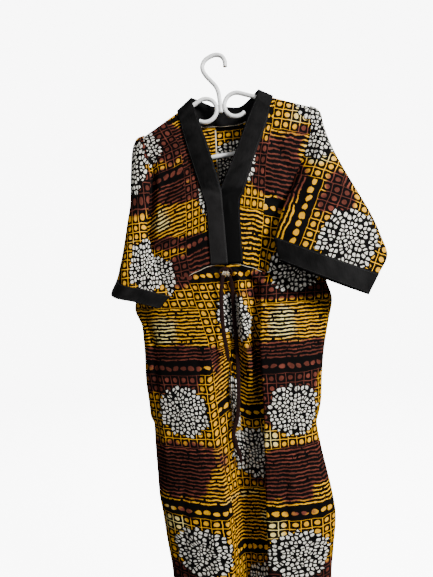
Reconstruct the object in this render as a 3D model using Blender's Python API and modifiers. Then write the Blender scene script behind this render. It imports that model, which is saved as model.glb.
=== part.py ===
"""A wax print kaftan dress hanging on a plastic hanger.

Metres, +Z up, +X to the right of someone who looks at the front, the front faces -Y.
The origin is the seat of the hook, where it rests on a rail.  Each cut piece of cloth is a
wall through sections that are worked out from the named sizes and the short tables below.
"""

from collections import namedtuple
from math import cos, pi, radians, sin, sqrt, tan

import bmesh
import bpy
from mathutils import Vector

# ---------------------------------------------------------------- driving sizes (metres)
CLOTH = 0.0016              # wall of the printed cotton
BAND_CLOTH = 0.0022         # folded black bands
HALF_GAP = 0.00015          # half the space between two pieces at a seam
KINK_GAP = 0.0007           # more of it where the bodice turns sharply above its underarm

TUBE_RADIUS = 0.0045        # the hanger's round section
TUBE_SMOOTHNESS = 2
HANGER_TILT = radians(4.0)  # right side up
HANGER_AXIS_X = -0.005      # post, in the hanger's own upright frame
ARM_SLOPE = radians(25.0)
SCROLL_RADIUS = 0.0250      # centre line of each scroll
SCROLL_X = 0.0335           # its centre, from the post
SCROLL_Z = -0.1085
SCROLL_END = radians(140)   # clockwise from the top of a scroll to its free end
SCROLL_STEPS = 20
TIP_STEPS = 9
HOOK_STEPS = 4              # between two rows of the hook's table
ARM_END = 0.178             # where an arm turns into its rounded tip, from the post
BAR_Z = -0.2105             # the lower bar
CLOTH_OVER_ARM = TUBE_RADIUS + 0.0009 + CLOTH / 2

LEFT, RIGHT = -1, 1
NECK_REACH = {LEFT: 0.0955, RIGHT: 0.1115}     # shoulder seam starts, from the post
ARMHOLE_REACH = {LEFT: 0.176, RIGHT: 0.186}    # and ends

SEAM_Z = -0.4445            # top of the short centre seam
SEAM_END_DROP = 0.0220      # how far its two ends hang below the middle
SEAM_HALF = 0.0765
SEAM_MIDDLE_X = -0.0045
SEAM_LEVELS_IN = 0.115
HEM_Z = -1.460
BACK_SEAM_X = -0.0150
EDGE_SETBACK = 0.0011       # of a cloth edge from the seam line, where walls turn sharply

ROLL_ANGLES = (0.10 * pi, 0.32 * pi, 0.5 * pi)      # rows of cloth round an arm of the hanger
SETTLE_FROM = 0.45          # share of the armhole below which the bodice takes the skirt's form
SEAM_FADE = 0.16            # height over which rows level out below the waist seam
SEAM_ARCH = 1.8             # how fast the seam's ends fall
SIDE_TURN = 2.2             # how fast a skirt section leaves its side edge
SIDE_ROUND = 0.62
CHEST_TOP_Z = -0.105
CHEST_DROP = 0.215
CHEST_NEAR = 0.0065         # depth beside the arms
CHEST_TOP = 0.0085          # depth at the neck
CHEST_FRONT = 0.0440
CHEST_BACK = 0.0270
CHEST_MIDDLE_X = 0.008
CHEST_HALF = 0.205
CHEST_FALL = 1.9            # how fast the chest fills out below the neck
CHEST_SQUARE = 2.8          # how flat it stays towards its sides

NECK_SHARE = 0.52           # of the back's columns, under the shoulder seam
ROLL_STEP = 0.0025
BACK_FLUTE = 0.0075
BACK_FLUTES = 2.3
BACK_FLUTE_GROWS = 0.5
BACK_EDGE_FADE = 1.5
BACK_SEAM_GAP = 0.0004
BODICE_STEPS = 13
FRONT_SIDE_SHARES = (0.0, 0.02, 0.07, 0.16, 0.29, 0.45, 0.62, 0.77, 0.89, 1.0)
BACK_SHARES = (0.0, 0.02, 0.08, 0.18, 0.30, 0.42, 0.52, 0.61, 0.71, 0.82, 1.0)
FOLD_NAMES = ("r1", "v1", "r2", "v2", "r3", "v3", "turn", "r4")
STEPS_PER_FOLD = 3
SKIRT_ROWS = 27
SKIRT_CROWDING = 1.35       # rows are closer together below the seam

LAP_FORWARD = CLOTH + 0.0012
LAP_LOWER = 0.0080          # more of it where the panel turns towards its side
LAP_INWARD = 0.0012
SLEEVE_ROWS = 18
SLEEVE_COLUMNS = 24
SLEEVE_PLACES = 5           # of a ring, without its start and end
SADDLE_TURNS = (0.38, 0.24, 0.08, -0.10, -0.30)
CUFF_ROWS = 3
CUFF_START = 0.035          # share of the cuff's depth left free at the seam
BAND_OVER = (CLOTH + BAND_CLOTH) / 2 + 0.0006
BAND_COLUMNS = 3
BAND_STEPS = 2
BAND_CROWN = 0.0012
BAND_FLAT_FROM = 0.15       # share of a band's length where it turns over the shoulder
BAND_FLAT_TO = 0.4
BAND_FRONT_FROM = 0.3

WELD = 0.00002              # points nearer than this are one
SHARP = radians(50)


# ---------------------------------------------------------------- tables, millimetres
# Rows down the bodice: the armhole edge and the neck edge of each half.  The last row's
# armhole is the underarm, which the skirt's outline gives.
Bodice = namedtuple("Bodice", "side_l_x side_l_z neck_l_x neck_l_z neck_r_x neck_r_z side_r_x side_r_z")
BODICE_ROWS = (
    Bodice(-160, -200, -74, -165, 93, -163, 186, -192),
    Bodice(-156, -250, -56, -222, 71, -218, 167, -245),
    Bodice(-163, -302, -36, -297, 43, -293, 142, -300),
    Bodice(-176, -350, -29, -345, 31, -345, 132, -343),
    Bodice(-198, -404, -28, -395, 31, -395, 168, -396),
    Bodice(-212, -436, -28, -444, 31, -444, 201, -428),
)

# Half outline of the skirt and depth of its front crest and back, by height.
Outline = namedtuple("Outline", "z left right back")
OUTLINE_ROWS = (
    Outline(-436, -204, 196, 27),
    Outline(-490, -206, 200, 28),
    Outline(-528, -214, 209, 28),
    Outline(-570, -200, 200, 29),
    Outline(-630, -198, 187, 30),
    Outline(-680, -199, 180, 31),
    Outline(-735, -195, 175, 31),
    Outline(-765, -193, 168, 32),
    Outline(-782, -186, 163, 32),
    Outline(-832, -186, 169, 32),
    Outline(-882, -185, 178, 33),
    Outline(-935, -184, 187, 33),
    Outline(-972, -179, 190, 33),
    Outline(-1040, -172, 182, 34),
    Outline(-1105, -164, 174, 34),
    Outline(-1250, -160, 172, 35),
    Outline(-1460, -166, 178, 36),
)

# Centre folds below the seam, as x and y of each ridge (r) and valley (v) across the front:
# left ridge, valley, inner ridge, valley, middle ridge, valley, inner turn, right ridge.
Folds = namedtuple(
    "Folds",
    "z r1_x r1_y v1_x v1_y r2_x r2_y v2_x v2_y r3_x r3_y v3_x v3_y turn_x turn_y r4_x r4_y",
)
FOLD_ROWS = (
    Folds(-444, -28, -44, -20, -44, -11, -44, -2, -44, 7, -44, 16, -44, 24, -44, 33, -44),
    Folds(-458, -28, -46, -16, -41, -6, -44, 3, -41, 16, -46, 28, -41, 40, -42, 52, -46),
    Folds(-478, -26, -47, -9, -37, 1, -43, 11, -36, 24, -49, 42, -36, 54, -36, 68, -47),
    Folds(-520, -18, -50, 0, -27, 5, -24, 10, -26, 24, -51, 47, -30, 58, -30, 68, -49),
    Folds(-560, -30, -50, 1, -20, 6, -18, 11, -20, 28, -51, 48, -25, 62, -25, 64, -51),
    Folds(-604, -41, -50, -2, -21, 3, -20, 9, -19, 30, -50, 48, -19, 69, -19, 60, -53),
    Folds(-645, -46, -50, -10, -25, -3, -27, 8, -19, 35, -46, 50, -15, 74, -16, 59, -54),
    Folds(-705, -48, -50, -14, -25, -5, -35, 6, -20, 36, -31, 52, -12, 78, -15, 60, -55),
    Folds(-765, -49, -50, -12, -22, -2, -33, 8, -16, 32, -18, 52, -11, 79, -15, 59, -55),
    Folds(-825, -39, -51, -13, -22, -5, -26, 5, -11, 28, -13, 50, -10, 77, -15, 56, -55),
    Folds(-885, -32, -53, -9, -13, 0, -10, 9, -9, 28, -10, 48, -10, 75, -16, 54, -55),
    Folds(-950, -28, -55, -8, -11, 2, -8, 12, -7, 28, -8, 46, -10, 73, -17, 52, -55),
    Folds(-1085, -23, -55, -4, -11, 6, -7, 14, -6, 28, -7, 44, -10, 70, -17, 49, -55),
    Folds(-1460, -16, -52, -2, -14, 8, -10, 16, -9, 28, -10, 42, -13, 62, -19, 46, -52),
)

# Neck bands: the free edge and the sewn edge. The first rows go from the centre back over
# the shoulder; the front rows go down the V and down the closed placket, where the depth
# comes from the bodice below and lift is the free edge's extra height.
Band = namedtuple("Band", "free_x free_y free_z sewn_x sewn_y sewn_z")
BandFront = namedtuple("BandFront", "free_x free_z sewn_x sewn_z lift")
BAND_BACK_ROWS = {
    LEFT: (
        Band(-15.4, 24, -95, -15.4, 27.5, -134),
        Band(-34, 21, -86, -48, 25.0, -131),
        Band(-52, 11, -79, -76, 17, -119),
        Band(-60, 0, -80, -90, 0, -103.0),
    ),
    RIGHT: (
        Band(-14.6, 24, -95, -14.6, 27.5, -134),
        Band(14, 24, -99, 14, 28.0, -136),
        Band(42, 22, -103, 44, 26.5, -134),
        Band(66, 17, -90, 84, 19, -120),
        Band(84, 0, -81, 112, 0, -97.5),
    ),
}
BAND_FRONT_ROWS = {
    LEFT: (
        BandFront(-57, -93, -85, -121, 1.0),
        BandFront(-49, -115, -81, -141, 1.5),
        BandFront(-38, -152, -74, -172, 2.0),
        BandFront(-26, -190, -64, -210, 2.5),
        BandFront(-13, -240, -51, -256, 3.5),
        BandFront(-1, -290, -38, -303, 4.5),
        BandFront(1, -325, -32, -327, 4.5),
        BandFront(3, -385, -31, -385, 4.5),
        BandFront(4.5, -443, -30, -443, 4.5),
    ),
    RIGHT: (
        BandFront(82, -96, 106, -122, 1.0),
        BandFront(73, -117, 102, -144, 1.5),
        BandFront(58, -152, 93, -172, 1.5),
        BandFront(41, -196, 78, -208, 1.0),
        BandFront(22, -240, 63, -246, 0.4),
        BandFront(-3, -292, 44, -300, 0.2),
        BandFront(-4, -325, 34, -322, 0.2),
        BandFront(-5, -385, 33, -385, 0.2),
        BandFront(-5, -443, 33.5, -443, 0.2),
    ),
}

Place = namedtuple("Place", "x y z")
# The back neck edge, from each shoulder to the centre seam.
BACK_NECK = {
    LEFT: (Place(-79, 18, -120), Place(-48, 25.0, -133), Place(-15, 27.5, -136.5)),
    RIGHT: (Place(96, 20, -118), Place(44, 26.5, -137), Place(14, 28, -138.5), Place(-15, 27.5, -136.5)),
}
BACK_ARMHOLE = {
    LEFT: (Place(-178, 0, -200), Place(-183, 0, -270), Place(-191, 0, -340), Place(-200, 0, -400)),
    RIGHT: (Place(196, 0, -190), Place(195, 0, -260), Place(193, 0, -330), Place(194, 0, -392)),
}

# Sleeves, a ring to a row. down is how far down the armhole the ring starts and ends, until
# the underarm; after it the ring is closed and starts at under. Then the ring's inner fold,
# front, front corner, outer edge and back, millimetres.
Ring = namedtuple("Ring", "down under fold front corner outer back")
SLEEVE_RINGS = {
    LEFT: (
        Ring(0.05, None, Place(-175, -13, -164), Place(-179, -12, -161), Place(-185, -8, -158),
             Place(-189, 2, -160), Place(-184, 11, -166)),
        Ring(0.13, None, Place(-176, -17, -182), Place(-186, -14, -181), Place(-196, -8, -183),
             Place(-199, 2, -188), Place(-192, 12, -190)),
        Ring(0.32, None, Place(-165, -30, -240), Place(-178, -34, -240), Place(-196, -24, -240),
             Place(-204, 0, -240), Place(-196, 19, -240)),
        Ring(0.50, None, Place(-161, -33, -302), Place(-176, -41, -302), Place(-199, -30, -300),
             Place(-208, 2, -298), Place(-200, 23, -300)),
        Ring(0.68, None, Place(-165, -39, -352), Place(-182, -51, -350), Place(-206, -38, -346),
             Place(-217, 6, -342), Place(-207, 27, -346)),
        Ring(0.86, None, Place(-154, -49, -404), Place(-180, -60, -398), Place(-210, -48, -390),
             Place(-231, 14, -382), Place(-216, 28, -392)),
        Ring(1.0, Place(-212, -4, -440), Place(-144, -57, -440), Place(-178, -67, -432),
             Place(-213, -59, -424), Place(-240, 20, -404), Place(-226, 28, -418)),
        Ring(1.0, Place(-198, -36, -452), Place(-129, -64, -476), Place(-172, -74, -464),
             Place(-216, -69, -450), Place(-247, 24, -422), Place(-228, 22, -434)),
        Ring(1.0, Place(-160, -49, -484), Place(-117, -66, -504), Place(-166, -77, -488),
             Place(-219, -73, -472), Place(-251, 26, -436), Place(-225, -4, -450)),
    ),
    RIGHT: (
        Ring(0.05, None, Place(195, -13, -155), Place(200, -12, -150), Place(205, -8, -144),
             Place(208, 2, -146), Place(203, 11, -153)),
        Ring(0.13, None, Place(196, -17, -176), Place(204, -14, -173), Place(212, -8, -174),
             Place(214, 2, -178), Place(208, 12, -182)),
        Ring(0.32, None, Place(186, -30, -232), Place(200, -38, -228), Place(218, -32, -224),
             Place(228, -8, -226), Place(218, 12, -234)),
        Ring(0.50, None, Place(156, -43, -286), Place(190, -53, -284), Place(228, -46, -278),
             Place(250, -18, -280), Place(226, 4, -292)),
        Ring(0.68, None, Place(126, -53, -334), Place(180, -65, -332), Place(238, -58, -324),
             Place(272, -30, -330), Place(238, -12, -350)),
        Ring(0.86, None, Place(114, -62, -366), Place(180, -75, -362), Place(250, -68, -360),
             Place(290, -40, -374), Place(246, -26, -396)),
        Ring(1.0, Place(200, 0, -443), Place(107, -69, -386), Place(178, -82, -396),
             Place(258, -75, -400), Place(303, -48, -416), Place(252, -36, -428)),
        Ring(1.0, Place(150, -57, -416), Place(103, -72, -398), Place(182, -86, -424),
             Place(260, -78, -438), Place(310, -53, -452), Place(238, -46, -454)),
        Ring(1.0, Place(116, -65, -412), Place(104, -73, -404), Place(182, -88, -441),
             Place(254, -79, -472), Place(289, -62, -486), Place(214, -58, -456)),
    ),
}
# The cuff's free edge, with the same places round it.
CUFF_EDGE = {
    LEFT: Ring(1.0, Place(-178, -52, -510), Place(-138, -70, -527), Place(-186, -81, -512),
               Place(-238, -76, -495), Place(-268, 26, -458), Place(-243, -2, -474)),
    RIGHT: Ring(1.0, Place(122, -70, -455), Place(111, -77, -449), Place(176, -91, -480),
                Place(240, -84, -509), Place(268, -68, -522), Place(206, -63, -495)),
}

# The hook's centre line in the hanger's own frame, from the tip over the seat to the post.
Hook = namedtuple("Hook", "x z")
HOOK_ROWS = (
    Hook(16.0, -24.0), Hook(16.5, -12.0), Hook(11.5, -1.0), Hook(1.0, 4.4), Hook(-11.0, 4.0),
    Hook(-24.5, -1.5), Hook(-32.0, -11.5), Hook(-32.5, -22.5), Hook(-27.0, -35.5),
    Hook(-18.0, -48.5), Hook(-9.5, -61.5), Hook(-5.5, -76.0), Hook(-5.0, -92.0),
    Hook(-5.0, -119.5),
)

# The tie: a knot, a long string and a short end that hangs deep in the valley.
TIE_LONG = (
    Place(-5, -62, -468), Place(-8, -62, -480), Place(-11, -61, -500), Place(-12.5, -60, -530),
    Place(-12.5, -59, -560), Place(-11, -58, -590), Place(-8, -57, -618), Place(-5, -57, -643),
)
TIE_DEEP = (
    Place(5, -60, -468), Place(9, -54, -484), Place(9, -42, -520), Place(8, -34, -560),
    Place(8, -32, -600), Place(5, -38, -650), Place(3, -46, -705), Place(-3, -44, -760),
    Place(-7, -43, -794), Place(-3, -40, -818), Place(3, -36, -840), Place(5, -35, -856),
)
TIE_WIDTH = 0.0085
TIE_THICK = 0.0022
KNOT = Place(0, -56.5, -458)
KNOT_SIZE = (0.0170, 0.0100, 0.0130)
KNOT_SEGMENTS = 12
KNOT_RINGS = 8
TIE_STEPS = 2

PRINT_COLOUR = (0.30, 0.13, 0.05, 1)
BLACK_COLOUR = (0.018, 0.018, 0.020, 1)
TIE_COLOUR = (0.06, 0.02, 0.02, 1)
WHITE_COLOUR = (0.82, 0.82, 0.80, 1)

MM = 0.001


# ---------------------------------------------------------------- curves and tables
def hermite(a, b, slope_a, slope_b, t):
    """Cubic through a and b with the given slopes over one unit of t."""
    return (a * (2 * t**3 - 3 * t**2 + 1) + slope_a * (t**3 - 2 * t**2 + t)
            + b * (3 * t**2 - 2 * t**3) + slope_b * (t**3 - t**2))


def mix(a, b, t):
    """Between a (t = 0) and b (t = 1)."""
    return a * (1 - t) + b * t


def limit(value):
    """Keep a share between 0 and 1."""
    return min(max(value, 0.0), 1.0)


def at_height(rows, column, z):
    """Read one column of a table that runs down in z (metres), smoothly between its rows."""
    heights = [row.z for row in rows]
    z_mm = min(max(z / MM, heights[-1]), heights[0])
    k = next(k for k in range(len(rows) - 1) if z_mm >= heights[k + 1])
    values = [getattr(row, column) for row in rows]

    def slope(n):
        if n == 0 or n == len(rows) - 1:
            return 0.0
        before = (values[n] - values[n - 1]) / (heights[n] - heights[n - 1])
        after = (values[n + 1] - values[n]) / (heights[n + 1] - heights[n])
        return 0.0 if before * after <= 0 else 2 * before * after / (before + after)

    span = heights[k + 1] - heights[k]
    t = (z_mm - heights[k]) / span
    return hermite(values[k], values[k + 1], slope(k) * span, slope(k + 1) * span, t) * MM


def along(points, t):
    """Point at t (0 to 1) on a smooth curve through the points, evenly by index."""
    last = len(points) - 1
    place = limit(t) * last
    k = min(int(place), last - 1)
    a, b = points[k], points[k + 1]
    before = points[k - 1] if k > 0 else a * 2 - b
    after = points[k + 2] if k + 2 <= last else b * 2 - a
    return hermite(a, b, (b - before) / 2, (after - a) / 2, place - k)


def vectors(places):
    """Table rows of millimetres with x, y and z, as vectors in metres."""
    return [Vector((place.x, place.y, place.z)) * MM for place in places]


# ---------------------------------------------------------------- hanger frame
def tilted(x, z, y=0.0):
    """A point of the hanger's own upright frame, in the part's frame."""
    return Vector((x * cos(HANGER_TILT) - z * sin(HANGER_TILT), y,
                   x * sin(HANGER_TILT) + z * cos(HANGER_TILT)))


def arm_start():
    """Where an arm leaves its scroll, from the post: the tangent point of the slope."""
    return SCROLL_X + SCROLL_RADIUS * sin(ARM_SLOPE), SCROLL_Z + SCROLL_RADIUS * cos(ARM_SLOPE)


def arm_height(reach):
    """Height of an arm's centre line at a distance from the post."""
    start_x, start_z = arm_start()
    return start_z - (reach - start_x) * tan(ARM_SLOPE)


def tip_circle():
    """Centre and radius of the rounded tip between an arm and the lower bar."""
    radius = (arm_height(ARM_END) - BAR_Z) / (1 + cos(ARM_SLOPE))
    return ARM_END - radius * sin(ARM_SLOPE), BAR_Z + radius, radius


def shoulder(side, reach, around=0.0, lap=0.0):
    """Cloth over an arm: around is 0 on top of the tube, pi/2 in front and -pi/2 behind."""
    lift = (CLOTH_OVER_ARM + lap) * cos(around)
    if reach <= ARM_END:
        z = arm_height(reach) + lift / cos(ARM_SLOPE)
    else:
        centre_x, centre_z, radius = tip_circle()
        z = centre_z + sqrt(max((radius + lift) ** 2 - (reach - centre_x) ** 2, 0.0))
    return tilted(HANGER_AXIS_X + side * reach, z, -(CLOTH_OVER_ARM + lap) * sin(around))


# ---------------------------------------------------------------- the body of the dress
def rounded(u):
    """Rise of a section from its side edge (u = 0) to its crest (u = 1)."""
    return (1 - (1 - limit(u)) ** SIDE_TURN) ** SIDE_ROUND


def chest_depth(x, z, fullest=CHEST_FRONT):
    """Distance of the bodice from the plane of the hanger, at x and z."""
    drop = limit((CHEST_TOP_Z - z) / CHEST_DROP)
    middle = mix(CHEST_TOP, fullest, 1 - (1 - drop) ** CHEST_FALL)
    across = limit(abs(x - CHEST_MIDDLE_X) / CHEST_HALF)
    return mix(CHEST_NEAR, middle, 1 - across ** CHEST_SQUARE)


def seam_drop(x):
    """How far the waist seam hangs at x below its middle; it levels out to the sides."""
    away = abs(x - SEAM_MIDDLE_X)
    level = limit((away - SEAM_HALF) / SEAM_LEVELS_IN)
    return SEAM_END_DROP * limit(away / SEAM_HALF) ** SEAM_ARCH * (1 - level ** 2 * (3 - 2 * level))


def skirt_point(z, left, u, crest_name, front=True):
    """A point between a side seam (u = 0) and the first ridge (u = 1) at table height z."""
    edge = at_height(OUTLINE_ROWS, "left" if left else "right", z)
    if front:
        crest_x = at_height(FOLD_ROWS, crest_name + "_x", z)
        crest_y = at_height(FOLD_ROWS, crest_name + "_y", z)
        y = min(crest_y * rounded(u), -EDGE_SETBACK)
    else:
        crest_x = BACK_SEAM_X
        deep = at_height(OUTLINE_ROWS, "back", z)
        grown = BACK_FLUTE * limit((SEAM_Z - z) / BACK_FLUTE_GROWS)
        wave = grown * sin(2 * pi * BACK_FLUTES * u) * sin(pi * u)
        y = max(deep * rounded(u) + wave, EDGE_SETBACK)
    return Vector((mix(edge, crest_x, u), y, z))


def hang(point, z):
    """Drop a skirt point by the seam's arch, less and less below it."""
    fade = limit(1 - (SEAM_Z - z) / SEAM_FADE)
    point.z -= seam_drop(point.x) * fade
    return point


def armhole(side, t, front=True):
    """The body's armhole edge, from the shoulder tip (t = 0) to the underarm (t = 1)."""
    turn = pi / 2 if front else -pi / 2
    first = shoulder(side, ARMHOLE_REACH[side], turn)
    if front:
        table = [(row.side_l_x, row.side_l_z) if side == LEFT else (row.side_r_x, row.side_r_z)
                 for row in BODICE_ROWS[:-1]]
    else:
        table = [(place.x, place.z) for place in BACK_ARMHOLE[side]]
    last = hang(skirt_point(SEAM_Z, side == LEFT, 0.0, "r1", front), SEAM_Z)
    points = [Vector((first.x, 0, first.z))]
    points += [Vector((x * MM, 0, z * MM)) for x, z in table]
    points.append(Vector((last.x, 0, last.z)))
    point = along(points, t)
    depth = chest_depth(point.x, point.z, CHEST_FRONT if front else CHEST_BACK)
    depth = mix(depth, EDGE_SETBACK, limit((t - SETTLE_FROM) / (1 - SETTLE_FROM)))
    point.y = -depth if front else depth
    return point


def front_inner(side, t):
    """The bodice's neck edge, from the shoulder (t = 0) to the centre seam (t = 1)."""
    first = shoulder(side, NECK_REACH[side], pi / 2)
    table = [(row.neck_l_x, row.neck_l_z) if side == LEFT else (row.neck_r_x, row.neck_r_z)
             for row in BODICE_ROWS]
    return along([Vector((first.x, 0, first.z))] + [Vector((x * MM, 0, z * MM)) for x, z in table], t)


def back_top(side, f, turn):
    """The back's top edge: the shoulder seam up to NECK_SHARE, then the neck curve."""
    if f <= NECK_SHARE:
        reach = mix(ARMHOLE_REACH[side], NECK_REACH[side], f / NECK_SHARE)
        return shoulder(side, reach, -ROLL_ANGLES[turn])
    start = shoulder(side, NECK_REACH[side], -ROLL_ANGLES[turn])
    drop = Vector((0, 0, -ROLL_STEP * turn))
    places = [start] + [place + drop for place in vectors(BACK_NECK[side])]
    return along(places, (f - NECK_SHARE) / (1 - NECK_SHARE))


def skirt_height(k):
    """Table height of a skirt row."""
    return SEAM_Z + (HEM_Z - SEAM_Z) * (k / SKIRT_ROWS) ** SKIRT_CROWDING


def front_fold_shares():
    """The centre folds' columns, between the left ridge (0) and the right one (1)."""
    steps = (len(FOLD_NAMES) - 1) * STEPS_PER_FOLD
    return [k / steps for k in range(1, steps)]


FOLD_SHARES = front_fold_shares()
SIDE_COUNT = len(FRONT_SIDE_SHARES)
LAST_COLUMN = 2 * SIDE_COUNT + len(FOLD_SHARES) - 1
SEAM_ROW = len(ROLL_ANGLES) + BODICE_STEPS - 1


def bodice_point(side, i, j):
    """A point of one half of the bodice, by column from the armhole and row."""
    u = FRONT_SIDE_SHARES[i]
    crest = "r1" if side == LEFT else "r4"
    if j < len(ROLL_ANGLES):
        return shoulder(side, mix(ARMHOLE_REACH[side], NECK_REACH[side], u), ROLL_ANGLES[j])
    t = (j - len(ROLL_ANGLES) + 1) / BODICE_STEPS
    point = mix(armhole(side, t), front_inner(side, t), u)
    settle = limit((t - SETTLE_FROM) / (1 - SETTLE_FROM))
    last = hang(skirt_point(SEAM_Z, side == LEFT, u, crest), SEAM_Z)
    point.y = mix(-chest_depth(point.x, point.z), last.y, settle)
    point.z = mix(point.z, last.z, settle ** 2)
    if j == SEAM_ROW:
        point = last
        point.z += HALF_GAP + KINK_GAP * (1 - u) ** 2
    return point


def skirt_front_point(i, k):
    """A point of the skirt's front, by column from the left side and row below the seam."""
    z = skirt_height(k)
    if i < SIDE_COUNT:
        point = skirt_point(z, True, FRONT_SIDE_SHARES[i], "r1")
    elif i > LAST_COLUMN - SIDE_COUNT:
        point = skirt_point(z, False, FRONT_SIDE_SHARES[LAST_COLUMN - i], "r4")
    else:
        ridges = [Vector((at_height(FOLD_ROWS, name + "_x", z),
                          at_height(FOLD_ROWS, name + "_y", z), z)) for name in FOLD_NAMES]
        point = along(ridges, FOLD_SHARES[i - SIDE_COUNT])
    point = hang(point, z)
    if k == 0:
        point.z -= HALF_GAP
    return point


def back_bodice_point(side, i, j):
    """A point of one half of the back above the waist, by column from the side and row."""
    u = BACK_SHARES[i]
    level = hang(skirt_point(SEAM_Z, side == LEFT, u, "r1", False), SEAM_Z)
    if j < len(ROLL_ANGLES):
        point = back_top(side, u, j)
    elif j < SEAM_ROW:
        t = (j - len(ROLL_ANGLES) + 1) / BODICE_STEPS
        top = back_top(side, u, len(ROLL_ANGLES) - 1)
        straight = mix(top, level, t)
        edge = armhole(side, t, False)
        first = back_top(side, 0.0, len(ROLL_ANGLES) - 1)
        last = hang(skirt_point(SEAM_Z, side == LEFT, 0.0, "r1", False), SEAM_Z)
        point = straight + (edge - mix(first, last, t)) * (1 - u) ** BACK_EDGE_FADE
        depth = chest_depth(point.x, point.z, CHEST_BACK)
        settle = limit((t - SETTLE_FROM) / (1 - SETTLE_FROM))
        point.y = mix(max(depth, top.y * (1 - t)), level.y, settle)
    else:
        point = level
        point.z += HALF_GAP
    if u == 1.0:
        point.x = BACK_SEAM_X + side * BACK_SEAM_GAP
    return point


def back_skirt_point(side, i, k):
    """A point of one half of the back skirt, by column from the side and row."""
    z = skirt_height(k)
    u = BACK_SHARES[i]
    point = hang(skirt_point(z, side == LEFT, u, "r1", False), z)
    if u == 1.0:
        point.x = BACK_SEAM_X + side * BACK_SEAM_GAP
    if k == 0:
        point.z -= HALF_GAP
    return point


# ---------------------------------------------------------------- sleeves, cuffs and bands
def sleeve_ends(side, down):
    """Where a sleeve ring starts on the front armhole and ends on the back one."""
    settle = limit((down - SETTLE_FROM) / (1 - SETTLE_FROM))
    inward = -side * LAP_INWARD * (1 - settle)
    forward = LAP_FORWARD + LAP_LOWER * settle
    start = armhole(side, down) + Vector((inward, -forward, 0))
    end = armhole(side, down, False) + Vector((inward, forward, 0))
    return start, end


def sleeve_middle(side, k):
    """The five places of sleeve ring k between its ends; ring 0 is the saddle over the arm."""
    if k == 0:
        reach = ARMHOLE_REACH[side] - LAP_INWARD
        return [shoulder(side, reach, turn * pi, LAP_FORWARD) for turn in SADDLE_TURNS]
    ring = SLEEVE_RINGS[side][k - 1]
    return vectors((ring.fold, ring.front, ring.corner, ring.outer, ring.back))


def sleeve_point(side, i, j):
    """A point of a sleeve by column round it and row along it."""
    rings = SLEEVE_RINGS[side]
    t = j / SLEEVE_ROWS
    place = t * len(rings)
    middles = [sleeve_middle(side, k) for k in range(len(rings) + 1)]
    middle = [along([knots[n] for knots in middles], t) for n in range(SLEEVE_PLACES)]
    closed = [ring for ring in rings if ring.under]
    first_closed = len(rings) - len(closed) + 1
    if place >= first_closed:
        share = (place - first_closed) / (len(closed) - 1)
        under = along(vectors([ring.under for ring in closed]), share)
        knots = [under] + middle + [under]
    else:
        downs = [0.0] + [ring.down for ring in rings]
        start, end = sleeve_ends(side, along(downs, t))
        share = limit(place - first_closed + 1) ** 2
        under = vectors([closed[0].under])[0]
        knots = [mix(start, under, share)] + middle + [mix(end, under, share)]
    return along(knots, i / SLEEVE_COLUMNS)


def cuff_knots(ring):
    """The places of a closed ring, from its underarm place round to it again."""
    places = vectors((ring.under, ring.fold, ring.front, ring.corner, ring.outer, ring.back))
    return places + places[:1]


def cuff_point(side, i, j):
    """A point of a cuff by column round it and row down it."""
    share = mix(CUFF_START, 1.0, j / CUFF_ROWS)
    start = along(cuff_knots(SLEEVE_RINGS[side][-1]), i / SLEEVE_COLUMNS)
    end = along(cuff_knots(CUFF_EDGE[side]), i / SLEEVE_COLUMNS)
    return mix(start, end, share)


def band_point(side, i, j):
    """A point of a neck band: column 0 is its free edge, the last its sewn edge."""
    frees, sewns = [], []
    for row in BAND_BACK_ROWS[side]:
        frees.append(Vector((row.free_x, row.free_y, row.free_z)) * MM)
        sewns.append(Vector((row.sewn_x, row.sewn_y, row.sewn_z)) * MM)
    for row in BAND_FRONT_ROWS[side]:
        sewn = Vector((row.sewn_x, 0, row.sewn_z)) * MM
        free = Vector((row.free_x, 0, row.free_z)) * MM
        sewn.y = -chest_depth(sewn.x, sewn.z) - BAND_OVER
        free.y = -chest_depth(free.x, free.z) - BAND_OVER - row.lift * MM
        frees.append(free)
        sewns.append(sewn)
    t = j / (BAND_STEPS * (len(frees) - 1))
    u = i / BAND_COLUMNS
    point = mix(along(frees, t), along(sewns, t), u)
    if not BAND_FLAT_FROM < t < BAND_FLAT_TO:
        point.y += BAND_CROWN * sin(pi * u) * (-1 if t > BAND_FRONT_FROM else 1)
    return point


# ---------------------------------------------------------------- mesh helpers
def material(name, colour, roughness):
    """A plain Principled material."""
    made = bpy.data.materials.new(name)
    made.use_nodes = True
    shader = made.node_tree.nodes["Principled BSDF"]
    shader.inputs["Base Color"].default_value = colour
    shader.inputs["Roughness"].default_value = roughness
    return made


def new_object(name, mesh, collection, finish):
    """Link a mesh as a named object with its material, shaded smooth."""
    made = bpy.data.objects.new(name, mesh)
    collection.objects.link(made)
    mesh.materials.append(finish)
    mesh.shade_smooth()
    mesh.set_sharp_from_angle(angle=SHARP)
    return made


def wall(name, size, place, thickness, collection, finish):
    """A cloth wall: a grid whose points place(i, j) puts, thickened on both sides.

    Edges that meet are joined.
    """
    columns, rows = size
    grid = bmesh.new()
    bmesh.ops.create_grid(grid, x_segments=columns, y_segments=rows, size=1.0)
    for vert in grid.verts:
        i = round((vert.co.x + 1) / 2 * columns)
        j = round((1 - vert.co.y) / 2 * rows)
        vert.co = place(i, j)
    bmesh.ops.remove_doubles(grid, verts=grid.verts, dist=WELD)
    bmesh.ops.recalc_face_normals(grid, faces=grid.faces)
    mesh = bpy.data.meshes.new(name)
    grid.to_mesh(mesh)
    grid.free()
    made = new_object(name, mesh, collection, finish)
    solid = made.modifiers.new("wall", "SOLIDIFY")
    solid.thickness = thickness
    solid.offset = 0.0
    return made


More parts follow.
